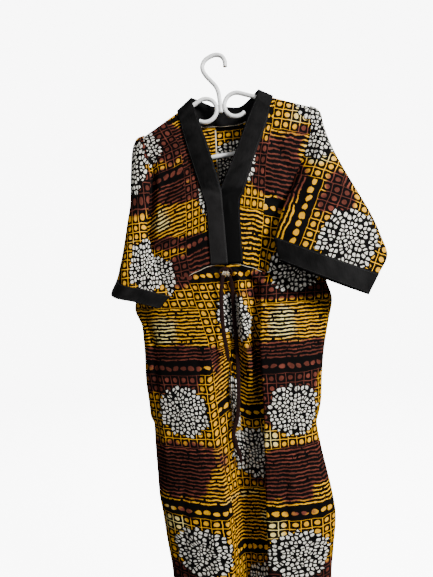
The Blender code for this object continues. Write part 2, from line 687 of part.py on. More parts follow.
def tube(name, centres, collection):
    """A round tube along the centres, as a mesh with welded caps."""
    curve = bpy.data.curves.new(name, "CURVE")
    curve.dimensions = "3D"
    curve.bevel_depth = TUBE_RADIUS
    curve.bevel_resolution = TUBE_SMOOTHNESS
    curve.use_fill_caps = True
    spline = curve.splines.new("POLY")
    spline.points.add(len(centres) - 1)
    for point, centre in zip(spline.points, centres):
        point.co = (*centre, 1)
    guide = bpy.data.objects.new(name + "_curve", curve)
    collection.objects.link(guide)
    evaluated = guide.evaluated_get(bpy.context.evaluated_depsgraph_get())
    mesh = bpy.data.meshes.new_from_object(evaluated)
    bpy.data.objects.remove(guide)
    weld = bmesh.new()
    weld.from_mesh(mesh)
    bmesh.ops.remove_doubles(weld, verts=weld.verts, dist=WELD)
    bmesh.ops.recalc_face_normals(weld, faces=weld.faces)
    weld.to_mesh(mesh)
    weld.free()
    mesh.name = name
    return mesh


# ---------------------------------------------------------------- pieces
def build_hanger(parts, cutters, finish):
    """The hanger: scrolls, arms and bar in one tube, and the hook with its post in another."""
    centre_x, centre_z, radius = tip_circle()
    half = []
    for k in range(SCROLL_STEPS + 1):
        turn = mix(SCROLL_END, 2 * pi + ARM_SLOPE, k / SCROLL_STEPS)
        half.append((SCROLL_X + SCROLL_RADIUS * sin(turn), SCROLL_Z + SCROLL_RADIUS * cos(turn)))
    for k in range(TIP_STEPS + 1):
        turn = mix(ARM_SLOPE, pi, k / TIP_STEPS)
        half.append((centre_x + radius * sin(turn), centre_z + radius * cos(turn)))
    right = [tilted(HANGER_AXIS_X + x, z) for x, z in half]
    left = [tilted(HANGER_AXIS_X - x, z) for x, z in half]
    body = new_object("hanger", tube("hanger", left + right[::-1], parts), parts, finish)
    hook_steps = HOOK_STEPS * (len(HOOK_ROWS) - 1)
    flat = [Vector((row.x, 0, row.z)) * MM for row in HOOK_ROWS]
    line = [along(flat, k / hook_steps) for k in range(hook_steps + 1)]
    hook = tube("hook", [tilted(point.x, point.z) for point in line], cutters)
    joined = new_object("hook", hook, cutters, finish)
    joined.hide_render = True
    joined.display_type = "WIRE"
    union = body.modifiers.new("hook", "BOOLEAN")
    union.operation = "UNION"
    union.object = joined


def build_ties(parts, finish):
    """The knot and the two flat strings of the tie."""
    for name, table in (("tie_long", TIE_LONG), ("tie_deep", TIE_DEEP)):
        places = vectors(table)
        steps = TIE_STEPS * (len(places) - 1)

        def ribbon(i, j, places=places, steps=steps):
            point = along(places, j / steps)
            point.x += (i - 0.5) * TIE_WIDTH
            return point

        wall(name, (1, steps), ribbon, TIE_THICK, parts, finish)
    knot = bmesh.new()
    bmesh.ops.create_uvsphere(knot, u_segments=KNOT_SEGMENTS, v_segments=KNOT_RINGS, radius=0.5)
    bmesh.ops.scale(knot, vec=Vector(KNOT_SIZE), verts=knot.verts)
    bmesh.ops.translate(knot, vec=vectors((KNOT,))[0], verts=knot.verts)
    mesh = bpy.data.meshes.new("tie_knot")
    knot.to_mesh(mesh)
    knot.free()
    new_object("tie_knot", mesh, parts, finish)


def main():
    """Clear the scene and build every piece."""
    for old in list(bpy.data.objects):
        bpy.data.objects.remove(old)
    parts = bpy.data.collections.new("wax_print_dress")
    cutters = bpy.data.collections.new("cutters")
    for collection in (parts, cutters):
        bpy.context.scene.collection.children.link(collection)
    printed = material("printed_cotton", PRINT_COLOUR, 0.85)
    black = material("black_cotton", BLACK_COLOUR, 0.6)
    string = material("tie_string", TIE_COLOUR, 0.9)
    white = material("white_plastic", WHITE_COLOUR, 0.35)

    build_hanger(parts, cutters, white)
    wall("skirt_front", (LAST_COLUMN, SKIRT_ROWS), skirt_front_point, CLOTH, parts, printed)
    for side, word in ((LEFT, "left"), (RIGHT, "right")):
        band_rows = BAND_STEPS * (len(BAND_BACK_ROWS[side]) + len(BAND_FRONT_ROWS[side]) - 1)
        pieces = (
            ("bodice_" + word, bodice_point, (SIDE_COUNT - 1, SEAM_ROW), CLOTH, printed),
            ("back_bodice_" + word, back_bodice_point, (len(BACK_SHARES) - 1, SEAM_ROW), CLOTH, printed),
            ("back_skirt_" + word, back_skirt_point, (len(BACK_SHARES) - 1, SKIRT_ROWS), CLOTH, printed),
            ("sleeve_" + word, sleeve_point, (SLEEVE_COLUMNS, SLEEVE_ROWS), CLOTH, printed),
            ("cuff_" + word, cuff_point, (SLEEVE_COLUMNS, CUFF_ROWS), BAND_CLOTH, black),
            ("neck_band_" + word, band_point, (BAND_COLUMNS, band_rows), BAND_CLOTH, black),
        )
        for name, place, size, thickness, finish in pieces:
            def put(i, j, place=place, side=side):
                return place(side, i, j)

            wall(name, size, put, thickness, parts, finish)
    build_ties(parts, string)


main()
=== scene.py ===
"""Looks of a wax print kaftan dress that hangs on a white plastic hanger.

Metres, +Z up, the front faces -Y, and the origin is the seat of the hanger's hook.  Each
piece of cloth is a thin shell through the same sections as its solid, with creases, a print
chart in fabric metres, and the seams, edges and threads that a maker adds.
"""

import logging
from dataclasses import dataclass
from enum import Enum
from math import cos, pi, radians, sin, tan
from typing import Callable, Optional, Sequence, Union

import bmesh
import bpy
import numpy as np
from mathutils import Matrix, Vector


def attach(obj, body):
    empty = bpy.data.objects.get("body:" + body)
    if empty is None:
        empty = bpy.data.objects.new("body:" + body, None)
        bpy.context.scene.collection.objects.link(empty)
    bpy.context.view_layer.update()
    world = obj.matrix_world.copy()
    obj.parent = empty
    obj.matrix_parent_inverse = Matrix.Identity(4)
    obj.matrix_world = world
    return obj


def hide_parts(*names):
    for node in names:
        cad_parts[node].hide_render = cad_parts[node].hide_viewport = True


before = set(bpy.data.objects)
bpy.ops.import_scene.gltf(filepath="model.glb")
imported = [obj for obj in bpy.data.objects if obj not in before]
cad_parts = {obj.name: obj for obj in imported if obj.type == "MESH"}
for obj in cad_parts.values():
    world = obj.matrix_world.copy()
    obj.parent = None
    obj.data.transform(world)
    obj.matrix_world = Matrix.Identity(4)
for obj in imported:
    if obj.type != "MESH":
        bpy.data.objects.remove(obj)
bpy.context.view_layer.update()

LOG = logging.getLogger("wax_print_dress")
BODY = "root"
MM = 0.001
COTTON = "printed_cotton"
BLACK = "black_cotton"
COTTON_THICK = 0.0013
BLACK_THICK = 0.0022
HEM_DEEP = 0.022
OVER_CLOTH = 0.55  # a stitch's height over the cloth's middle, as a share of its thickness
EDGE_HOLD = 0.06  # the share of a row over which creases die out at its edge
Array = np.ndarray
Row = Sequence[float]


class Side(Enum):
    """The two halves of the dress, as someone who looks at the front sees them."""

    LEFT = -1
    RIGHT = 1

    @property
    def word(self) -> str:
        """The half's name in lower case."""
        return self.name.lower()


# ---------------------------------------------------------------- tables, millimetres
# The skirt: its height, both side edges, and how deep its back is.
OUTLINE_NAMES = ("z", "left", "right", "back")
OUTLINE_ROWS = (
    (-436, -204, 196, 27), (-490, -206, 200, 28), (-528, -214, 209, 28), (-570, -200, 200, 29),
    (-630, -198, 187, 30), (-680, -199, 180, 31), (-735, -195, 175, 31), (-765, -193, 168, 32),
    (-782, -186, 163, 32), (-832, -186, 169, 32), (-882, -185, 178, 33), (-935, -184, 187, 33),
    (-972, -179, 190, 33), (-1040, -172, 182, 34), (-1105, -164, 174, 34), (-1250, -160, 172, 35),
    (-1460, -166, 178, 36),
)

# The centre folds: height, then x and y of each ridge and valley that FOLD_NAMES names.
FOLD_NAMES = ("r1", "v1", "r2", "v2", "r3", "v3", "turn", "r4")
FOLD_ROWS = (
    (-444, -28, -44, -20, -44, -11, -44, -2, -44, 7, -44, 16, -44, 24, -44, 33, -44),
    (-458, -28, -46, -16, -41, -6, -44, 3, -41, 16, -46, 28, -41, 40, -42, 52, -46),
    (-478, -26, -47, -9, -37, 1, -43, 11, -36, 24, -49, 42, -36, 54, -36, 68, -47),
    (-520, -18, -50, 0, -27, 5, -24, 10, -26, 24, -51, 47, -30, 58, -30, 68, -49),
    (-560, -30, -50, 1, -20, 6, -18, 11, -20, 28, -51, 48, -25, 62, -25, 64, -51),
    (-604, -41, -50, -2, -21, 3, -20, 9, -19, 30, -50, 48, -19, 69, -19, 60, -53),
    (-645, -46, -50, -10, -25, -3, -27, 8, -19, 35, -46, 50, -15, 74, -16, 59, -54),
    (-705, -48, -50, -14, -25, -5, -35, 6, -20, 36, -31, 52, -12, 78, -15, 60, -55),
    (-765, -49, -50, -12, -22, -2, -33, 8, -16, 32, -18, 52, -11, 79, -15, 59, -55),
    (-825, -39, -51, -13, -22, -5, -26, 5, -11, 28, -13, 50, -10, 77, -15, 56, -55),
    (-885, -32, -53, -9, -13, 0, -10, 9, -9, 28, -10, 48, -10, 75, -16, 54, -55),
    (-950, -28, -55, -8, -11, 2, -8, 12, -7, 28, -8, 46, -10, 73, -17, 52, -55),
    (-1085, -23, -55, -4, -11, 6, -7, 14, -6, 28, -7, 44, -10, 70, -17, 49, -55),
    (-1460, -16, -52, -2, -14, 8, -10, 16, -9, 28, -10, 42, -13, 62, -19, 46, -52),
)

# The bodice's armhole and neck edges, from the shoulder down: x and z.
FRONT_ARMHOLE = {
    Side.LEFT: ((-160, -200), (-156, -250), (-163, -302), (-176, -350), (-198, -404)),
    Side.RIGHT: ((186, -192), (167, -245), (142, -300), (132, -343), (168, -396)),
}
FRONT_NECK = {
    Side.LEFT: ((-74, -165), (-56, -222), (-36, -297), (-29, -345), (-28, -395), (-28, -444)),
    Side.RIGHT: ((93, -163), (71, -218), (43, -293), (31, -345), (31, -395), (31, -444)),
}
BACK_ARMHOLE = {
    Side.LEFT: ((-178, -200), (-183, -270), (-191, -340), (-200, -400)),
    Side.RIGHT: ((196, -190), (195, -260), (193, -330), (194, -392)),
}
BACK_NECK = {
    Side.LEFT: ((-79, 18, -120), (-48, 25.0, -133), (-15, 27.5, -136.5)),
    Side.RIGHT: ((96, 20, -118), (44, 26.5, -137), (14, 28, -138.5), (-15, 27.5, -136.5)),
}

# The neck bands.  Behind the shoulder: a place on the free edge and one on the sewn edge.  In front:
# x and z of the free edge, x and z of the sewn one, and how far the free edge is lifted.
BAND_BACK_ROWS = {
    Side.LEFT: (
        ((-15.0, 24, -95), (-15.0, 27.5, -134)), ((-34, 21, -86), (-48, 25.0, -131)),
        ((-52, 11, -79), (-76, 17, -119)), ((-60, 0, -80), (-90, 0, -103.0)),
    ),
    Side.RIGHT: (
        ((-15.0, 24, -95), (-15.0, 27.5, -134)), ((14, 24, -99), (14, 28.0, -136)),
        ((42, 22, -103), (44, 26.5, -134)), ((66, 17, -90), (84, 19, -120)),
        ((84, 0, -81), (112, 0, -97.5)),
    ),
}
BAND_FRONT_ROWS = {
    Side.LEFT: (
        (-57, -93, -85, -121, 1.0), (-49, -115, -81, -141, 1.5), (-38, -152, -74, -172, 2.0),
        (-26, -190, -64, -210, 2.5), (-13, -240, -51, -256, 3.5), (-1, -290, -38, -303, 4.5),
        (1, -325, -32, -327, 4.5), (3, -385, -31, -385, 4.5), (4.5, -443, -30, -443, 4.5),
    ),
    Side.RIGHT: (
        (82, -96, 106, -122, 1.0), (73, -117, 102, -144, 1.5), (58, -152, 93, -172, 1.5),
        (41, -196, 78, -208, 1.0), (22, -240, 63, -246, 0.4), (-3, -292, 44, -300, 0.2),
        (-4, -325, 34, -322, 0.2), (-5, -385, 33, -385, 0.2), (-5, -443, 33.5, -443, 0.2),
    ),
}

# The sleeves' rings: the fold, the front, the corner, the outer end and the back.  RING_DOWNS says how
# far down the armhole each starts, after the saddle over the arm.  The last three are closed below by
# SLEEVE_UNDERS, and the cuff's free edge starts with its own under place.
RING_DOWNS = (0.0, 0.05, 0.13, 0.32, 0.5, 0.68, 0.86, 1.0, 1.0, 1.0)
SLEEVE_RINGS = {
    Side.LEFT: (
        ((-175, -13, -164), (-179, -12, -161), (-185, -8, -158), (-189, 2, -160), (-184, 11, -166)),
        ((-176, -17, -182), (-186, -14, -181), (-196, -8, -183), (-199, 2, -188), (-192, 12, -190)),
        ((-165, -30, -240), (-178, -34, -240), (-196, -24, -240), (-204, 0, -240), (-196, 19, -240)),
        ((-161, -33, -302), (-176, -41, -302), (-199, -30, -300), (-208, 2, -298), (-200, 23, -300)),
        ((-165, -39, -352), (-182, -51, -350), (-206, -38, -346), (-217, 6, -342), (-207, 27, -346)),
        ((-154, -49, -404), (-180, -60, -398), (-210, -48, -390), (-231, 14, -382), (-216, 28, -392)),
        ((-144, -57, -440), (-178, -67, -432), (-213, -59, -424), (-240, 20, -404), (-226, 28, -418)),
        ((-129, -64, -476), (-172, -74, -464), (-216, -69, -450), (-247, 24, -422), (-228, 22, -434)),
        ((-117, -66, -504), (-166, -77, -488), (-219, -73, -472), (-251, 26, -436), (-225, -4, -450)),
    ),
    Side.RIGHT: (
        ((195, -13, -155), (200, -12, -150), (205, -8, -144), (208, 2, -146), (203, 11, -153)),
        ((196, -17, -176), (204, -14, -173), (212, -8, -174), (214, 2, -178), (208, 12, -182)),
        ((186, -30, -232), (200, -38, -228), (218, -32, -224), (228, -8, -226), (218, 12, -234)),
        ((156, -43, -286), (190, -53, -284), (228, -46, -278), (250, -18, -280), (226, 4, -292)),
        ((126, -53, -334), (180, -65, -332), (238, -58, -324), (272, -30, -330), (238, -12, -350)),
        ((114, -62, -366), (180, -75, -362), (250, -68, -360), (290, -40, -374), (246, -26, -396)),
        ((107, -69, -386), (178, -82, -396), (258, -75, -400), (303, -48, -416), (252, -36, -428)),
        ((103, -72, -398), (182, -86, -424), (260, -78, -438), (310, -53, -452), (238, -46, -454)),
        ((104, -73, -404), (182, -88, -441), (254, -79, -472), (289, -62, -486), (214, -58, -456)),
    ),
}
SLEEVE_UNDERS = {
    Side.LEFT: ((-212, -4, -440), (-198, -36, -452), (-160, -49, -484)),
    Side.RIGHT: ((200, 0, -443), (150, -57, -416), (116, -65, -412)),
}
CUFF_EDGE = {
    Side.LEFT: (
        (-178, -52, -510), (-138, -70, -527), (-186, -81, -512), (-236, -76, -496), (-255, 26, -460),
        (-237, -2, -475),
    ),
    Side.RIGHT: (
        (122, -70, -455), (111, -77, -449), (176, -91, -480), (240, -84, -509), (268, -68, -522),
        (206, -63, -495),
    ),
}

HOOK_LINE = (
    (16.0, -24.0), (16.5, -12.0), (11.5, -1.0), (1.0, 4.4), (-11.0, 4.0), (-24.5, -1.5),
    (-32.0, -11.5), (-32.5, -22.5), (-27.0, -35.5), (-18.0, -48.5), (-9.5, -61.5), (-5.5, -76.0),
    (-5.0, -92.0), (-5.0, -119.5),
)
TIE_LONG = (
    (-5, -62, -468), (-8, -62, -480), (-11, -61, -500), (-12.5, -60, -530), (-12.5, -59, -560),
    (-11, -58, -590), (-8, -57, -618), (-5, -57, -643),
)
TIE_DEEP = (
    (5, -60, -468), (9, -54, -484), (9, -42, -520), (8, -34, -560), (9, -32, -600), (10, -37, -650),
    (9, -43, -705), (4, -44, -755), (-7, -43, -794), (-3, -40, -818), (3, -36, -840), (5, -35, -856),
)
KNOT = (0, -56.5, -458)

# Patches of the print's dye: centre, half width, half height, and 0 brown, 0.5 yellow or 1 cream.
# A patch is whole up to PATCH_WHOLE of its half size, and fades out over PATCH_FADE of it.
PATCH_WHOLE = 0.55
PATCH_FADE = 0.9
DYE_PATCHES = (
    (-142, -582, 30, 34, 0.9), (-109, -624, 86, 17, 0), (-111, -653, 86, 25, 0),
    (-130, -688, 70, 23, 0), (-51, -744, 18, 88, 0.5), (-168, -778, 16, 32, 0.6),
    (-117, -816, 61, 10, 0.15), (-114, -872, 94, 55, 0), (-52, -930, 29, 17, 0.5),
    (-151, -948, 16, 13, 0.8), (-117, -954, 20, 15, 0.1), (-55, -957, 37, 15, 0.45),
    (-140, -984, 31, 17, 0.95), (-64, -990, 35, 23, 0.5), (-138, -1091, 82, 29, 0),
    (135, -505, 102, 17, 0), (110, -572, 31, 36, 0.9), (172, -572, 37, 46, 0.5),
    (133, -627, 102, 23, 0), (131, -659, 102, 19, 0), (122, -690, 70, 23, 0), (182, -718, 16, 50, 0.5),
    (69, -735, 14, 42, 0.05), (167, -783, 18, 29, 0.5), (67, -802, 18, 21, 0.9),
    (117, -825, 53, 8, 0.1), (122, -875, 107, 52, 0), (176, -914, 27, 19, 0.5),
    (68, -944, 18, 13, 0.6), (118, -953, 29, 13, 0.15), (68, -978, 31, 19, 0.95),
    (131, -985, 45, 23, 0.45), (110, -1080, 82, 25, 0), (-2, -925, 45, 13, 0.8),
    (-20, -888, 41, 34, 0.35), (-119, -175, 55, 50, 0), (-70, -128, 27, 19, 0.5),
    (-108, -253, 53, 19, 0), (-93, -291, 53, 21, 0), (-140, -342, 29, 25, 0.85),
    (-110, -394, 53, 13, 0), (-54, -221, 25, 46, 0), (-49, -388, 25, 10, 0), (-50, -409, 29, 15, 0),
    (-55, -439, 31, 21, 0), (-98, -455, 29, 34, 0), (-191, -370, 20, 29, 0.6),
    (166, -150, 27, 29, 0.8), (170, -181, 16, 10, 0.1), (128, -256, 49, 71, 0), (74, -234, 16, 67, 0),
    (85, -392, 10, 59, 0.5), (95, -325, 12, 10, 0.9), (121, -334, 14, 13, 0.1),
    (63, -474, 18, 15, 0.1), (115, -505, 53, 15, 0), (197, -234, 31, 29, 0.85), (230, -325, 27, 46, 0),
    (200, -343, 14, 21, 0), (-177, -285, 33, 50, 0),
)

# Soft ridges (depth over 0) and troughs: x and z of both ends, width, depth and sideways bow.
FRONT_CREASES = (
    (-150, -175, -176, -420, 10, -3.2, 6), (-132, -190, -150, -400, 9, 2.2, 5),
    (-60, -235, -150, -330, 7, -1.6, -4), (-50, -300, -160, -372, 8, 1.8, 5),
    (-40, -330, -120, -410, 6, -1.6, -3), (-90, -130, -150, -220, 9, -1.8, 4),
    (105, -150, 150, -300, 8, -2.0, -5), (60, -300, 130, -345, 6, -1.6, 3),
    (45, -330, 100, -430, 7, 1.8, 4), (90, -180, 110, -330, 8, 1.4, -4),
    (-60, -455, -95, -560, 5, -1.8, 3), (-45, -452, -62, -540, 4, 1.6, -2),
    (-75, -470, -140, -600, 7, -1.6, 5), (55, -460, 92, -570, 5, -1.8, -3),
    (80, -475, 110, -620, 6, 1.6, 4), (-196, -500, -150, -640, 9, -2.6, -6),
    (-180, -540, -168, -760, 8, -2.2, 5), (-150, -640, -150, -900, 9, 1.8, -6),
    (-75, -600, -70, -840, 8, -1.8, 5), (-110, -840, -125, -1180, 9, -1.8, -6),
    (-60, -860, -64, -1250, 8, 1.8, 6), (-150, -1000, -140, -1440, 10, -2.4, 6),
    (-90, -1150, -100, -1450, 9, 2.0, -5), (150, -500, 170, -700, 9, -2.4, 6),
    (110, -620, 120, -900, 9, -1.6, -6), (160, -800, 150, -1060, 9, 2.0, 6),
    (90, -760, 84, -1100, 8, -1.6, 5), (135, -1000, 140, -1400, 10, -2.4, -7),
    (85, -1120, 90, -1440, 8, 1.8, 5), (20, -960, 22, -1440, 6, 2.0, 4),
)
BACK_CREASES = (
    (-120, -160, -170, -330, 10, -2.4, 6), (120, -150, 160, -330, 10, -2.4, -6),
    (-60, -160, -120, -420, 9, 1.8, 5), (70, -160, 120, -420, 9, 1.8, -5),
    (-30, -150, -60, -420, 8, -1.6, 4), (30, -150, 50, -440, 8, -1.6, -4),
    (-190, -440, -90, -520, 10, 2.2, -6), (185, -440, 90, -530, 10, 2.2, 6),
    (-150, -480, -140, -760, 10, -2.6, 6), (140, -480, 135, -800, 10, -2.6, -6),
    (-90, -560, -100, -960, 10, 2.4, -7), (80, -600, 95, -980, 10, 2.4, 7),
    (-50, -480, -55, -800, 9, -1.8, 5), (40, -520, 45, -860, 9, -1.8, -5),
    (-130, -860, -120, -1300, 11, -2.8, 7), (125, -900, 120, -1330, 11, -2.8, -7),
    (-60, -900, -70, -1420, 10, 2.4, 6), (60, -940, 70, -1440, 10, 2.4, -6),
)
BAND_CREASES = (
    (14, -299, -44, -272, 4, 1.9, 2), (10, -303, -30, -297, 3.5, -1.2, 1),
    (10, -300, -22, -281, 2.5, -1.2, 0), (8, -306, 42, -280, 4, 1.7, -2),
    (12, -305, 40, -300, 3.5, -1.0, 1), (4, -306, -6, -345, 4, 1.2, 2),
    (12, -310, 16, -352, 4, 1.0, -2),
)
SLEEVE_CREASES = (
    (-172, -190, -190, -330, 8, -2.0, 4), (-200, -300, -230, -440, 8, 2.0, -4),
    (-160, -350, -200, -450, 7, -2.0, 4), (-140, -420, -200, -470, 7, 1.6, 3),
    (205, -170, 225, -330, 9, -2.0, -5), (180, -270, 150, -400, 8, 1.8, 4),
    (220, -300, 270, -420, 9, -2.0, -5), (170, -330, 250, -430, 10, 1.8, 5),
    (140, -340, 180, -430, 7, -1.6, 3),
)


# ---------------------------------------------------------------- curves
def hermite(a: Array, b: Array, slope_a: Array, slope_b: Array, t: Array) -> Array:
    """Cubic through a and b with the given slopes over one unit of t."""
    return (a * (2 * t**3 - 3 * t**2 + 1) + slope_a * (t**3 - 2 * t**2 + t)
            + b * (3 * t**2 - 2 * t**3) + slope_b * (t**3 - t**2))


def mix(a: Array, b: Array, t: Array) -> Array:
    """Between a (t = 0) and b (t = 1)."""
    return a * (1 - t) + b * t


def limit(value: Array) -> Array:
    """Keep a share between 0 and 1."""
    return np.clip(value, 0.0, 1.0)


def ease(value: Array) -> Array:
    """A share between 0 and 1 that starts and stops softly."""
    held = limit(value)
    return held * held * (3 - 2 * held)


def metres(places: Sequence[Row]) -> Array:
    """Table places as an array in metres."""
    return np.array(places, float) * MM


def at_height(rows: Sequence[Row], column: int, z: Array) -> Array:
    """Read one column of a table that runs down in z, smoothly between its rows.

    Args:
        rows: rows in millimetres, which start with their height.
        column: the value's place in a row.
        z: heights in metres.

    Returns:
        The column's values in metres.
    """
    table = np.array(rows, float)
    downs, values = -table[:, 0], table[:, column]
    steps = np.diff(values) / np.diff(downs)
    before, after = steps[:-1], steps[1:]
    total = np.where(before * after > 0, before + after, 1.0)
    inner = np.where(before * after > 0, 2 * before * after / total, 0.0)
    slopes = np.concatenate(([0.0], inner, [0.0]))
    place = np.clip(-np.asarray(z, float) / MM, downs[0], downs[-1])
    k = np.clip(np.searchsorted(downs, place, side="right") - 1, 0, len(rows) - 2)
    span = downs[k + 1] - downs[k]
    t = (place - downs[k]) / span
    return hermite(values[k], values[k + 1], slopes[k] * span, slopes[k + 1] * span, t) * MM


def along(points: Array, t: Array) -> Array:
    """One point, or several, at t (0 to 1) on a smooth curve that gives each span of points
    an equal share of t."""
    knots = np.asarray(points, float)
    last = len(knots) - 1
    padded = np.concatenate(([2 * knots[0] - knots[1]], knots, [2 * knots[-1] - knots[-2]]))
    place = limit(np.asarray(t, float)) * last
    k = np.minimum(place.astype(int), last - 1)
    share = place - k
    if knots.ndim > 1:
        share = share[..., None]
    before, a, b, after = padded[k], padded[k + 1], padded[k + 2], padded[k + 3]
    return hermite(a, b, (b - before) / 2, (after - a) / 2, share)


def lengths(points: Array) -> Array:
    """Distance along a line of points from its first one."""
    steps = np.linalg.norm(np.diff(points, axis=0), axis=-1)
    return np.concatenate(([0.0], np.cumsum(steps)))


def crease_field(points: Array, creases: Sequence[Row]) -> Array:
    """How far a table of creases lifts the cloth at each place, in metres."""
    x, z = points[..., 0], points[..., 2]
    lift = np.zeros_like(x)
    for x1, z1, x2, z2, width, depth, bow in creases:
        start = np.array((x1, z1)) * MM
        run = np.array((x2, z2)) * MM - start
        span = np.linalg.norm(run)
        run = run / span
        away_x, away_z = x - start[0], z - start[1]
        t = (away_x * run[0] + away_z * run[1]) / span
        held = limit(t)
        across = away_z * run[0] - away_x * run[1] - bow * MM * 4 * held * (1 - held)
        window = np.where((t > 0) & (t < 1), np.sin(pi * held) ** 0.8, 0.0)
        lift += depth * MM * window * np.exp(-(across / (width * MM)) ** 2)
    return lift


def dye(x: Array, z: Array, base: float = 0.5) -> Array:
    """The print's dye at each place: 0 brown, 0.5 yellow, 1 cream."""
    tone = np.full_like(x, base)
    for centre_x, centre_z, wide, high, patch_tone in DYE_PATCHES:
        across = (x / MM - centre_x) / wide
        down = (z / MM - centre_z) / high
        away = np.maximum(np.abs(across), np.abs(down)) * 0.5 + np.hypot(across, down) * 0.5
        tone = mix(tone, patch_tone, 1 - ease((away - PATCH_WHOLE) / PATCH_FADE))
    return tone


def blank_chart(points: Array, drop: float) -> Array:
    """A chart with the odd columns' drop and each place's dye, ready for the print's place."""
    chart = np.zeros(points.shape[:2] + (4,))
    chart[..., 2] = drop
    chart[..., 3] = dye(points[..., 0], points[..., 2])
    return chart


# ---------------------------------------------------------------- the form that the pieces share
@dataclass(frozen=True)
class HangerForm:
    """The hanger's sizes, and the cloth that lies over its arms."""

    tube_radius: float = 0.0045
    tilt: float = radians(4.0)
    axis_x: float = -0.005
    arm_slope: float = radians(25.0)
    scroll_radius: float = 0.0250
    scroll_x: float = 0.0335
    scroll_z: float = -0.1085
    scroll_end: float = radians(140.0)
    arm_end: float = 0.178
    bar_z: float = -0.2105
    cloth_over: float = 0.0062

    def tilted(self, x: Array, z: Array, y: Array) -> Array:
        """Points of the hanger's own upright frame, in the dress's frame."""
        x, z, y = np.broadcast_arrays(np.asarray(x, float), z, y)
        return np.stack((x * cos(self.tilt) - z * sin(self.tilt), y,
                         x * sin(self.tilt) + z * cos(self.tilt)), axis=-1)

    def arm_height(self, reach: Array) -> Array:
        """Height of an arm's centre line at a distance from the post."""
        start_x = self.scroll_x + self.scroll_radius * sin(self.arm_slope)
        start_z = self.scroll_z + self.scroll_radius * cos(self.arm_slope)
        return start_z - (reach - start_x) * tan(self.arm_slope)

    def tip_circle(self) -> tuple[float, float, float]:
        """Centre and radius of the rounded tip between an arm and the lower bar."""
        radius = (self.arm_height(self.arm_end) - self.bar_z) / (1 + cos(self.arm_slope))
        return self.arm_end - radius * sin(self.arm_slope), self.bar_z + radius, radius

    def shoulder(self, side: Side, reach: Array, around: float, lap: float = 0.0) -> Array:
        """Cloth over an arm.

        Args:
            side: which arm.
            reach: distances from the post.
            around: 0 on top of the tube, pi/2 in front of it and -pi/2 behind.
            lap: extra distance from the tube.

        Returns:
            A point for each reach.
        """
        reach = np.asarray(reach, float)
        over = self.cloth_over + lap
        lift = over * cos(around)
        centre_x, centre_z, radius = self.tip_circle()
        straight = self.arm_height(reach) + lift / cos(self.arm_slope)
        curved = centre_z + np.sqrt(np.maximum((radius + lift) ** 2 - (reach - centre_x) ** 2, 0.0))
        height = np.where(reach <= self.arm_end, straight, curved)
        return self.tilted(self.axis_x + side.value * reach, height, -over * sin(around))


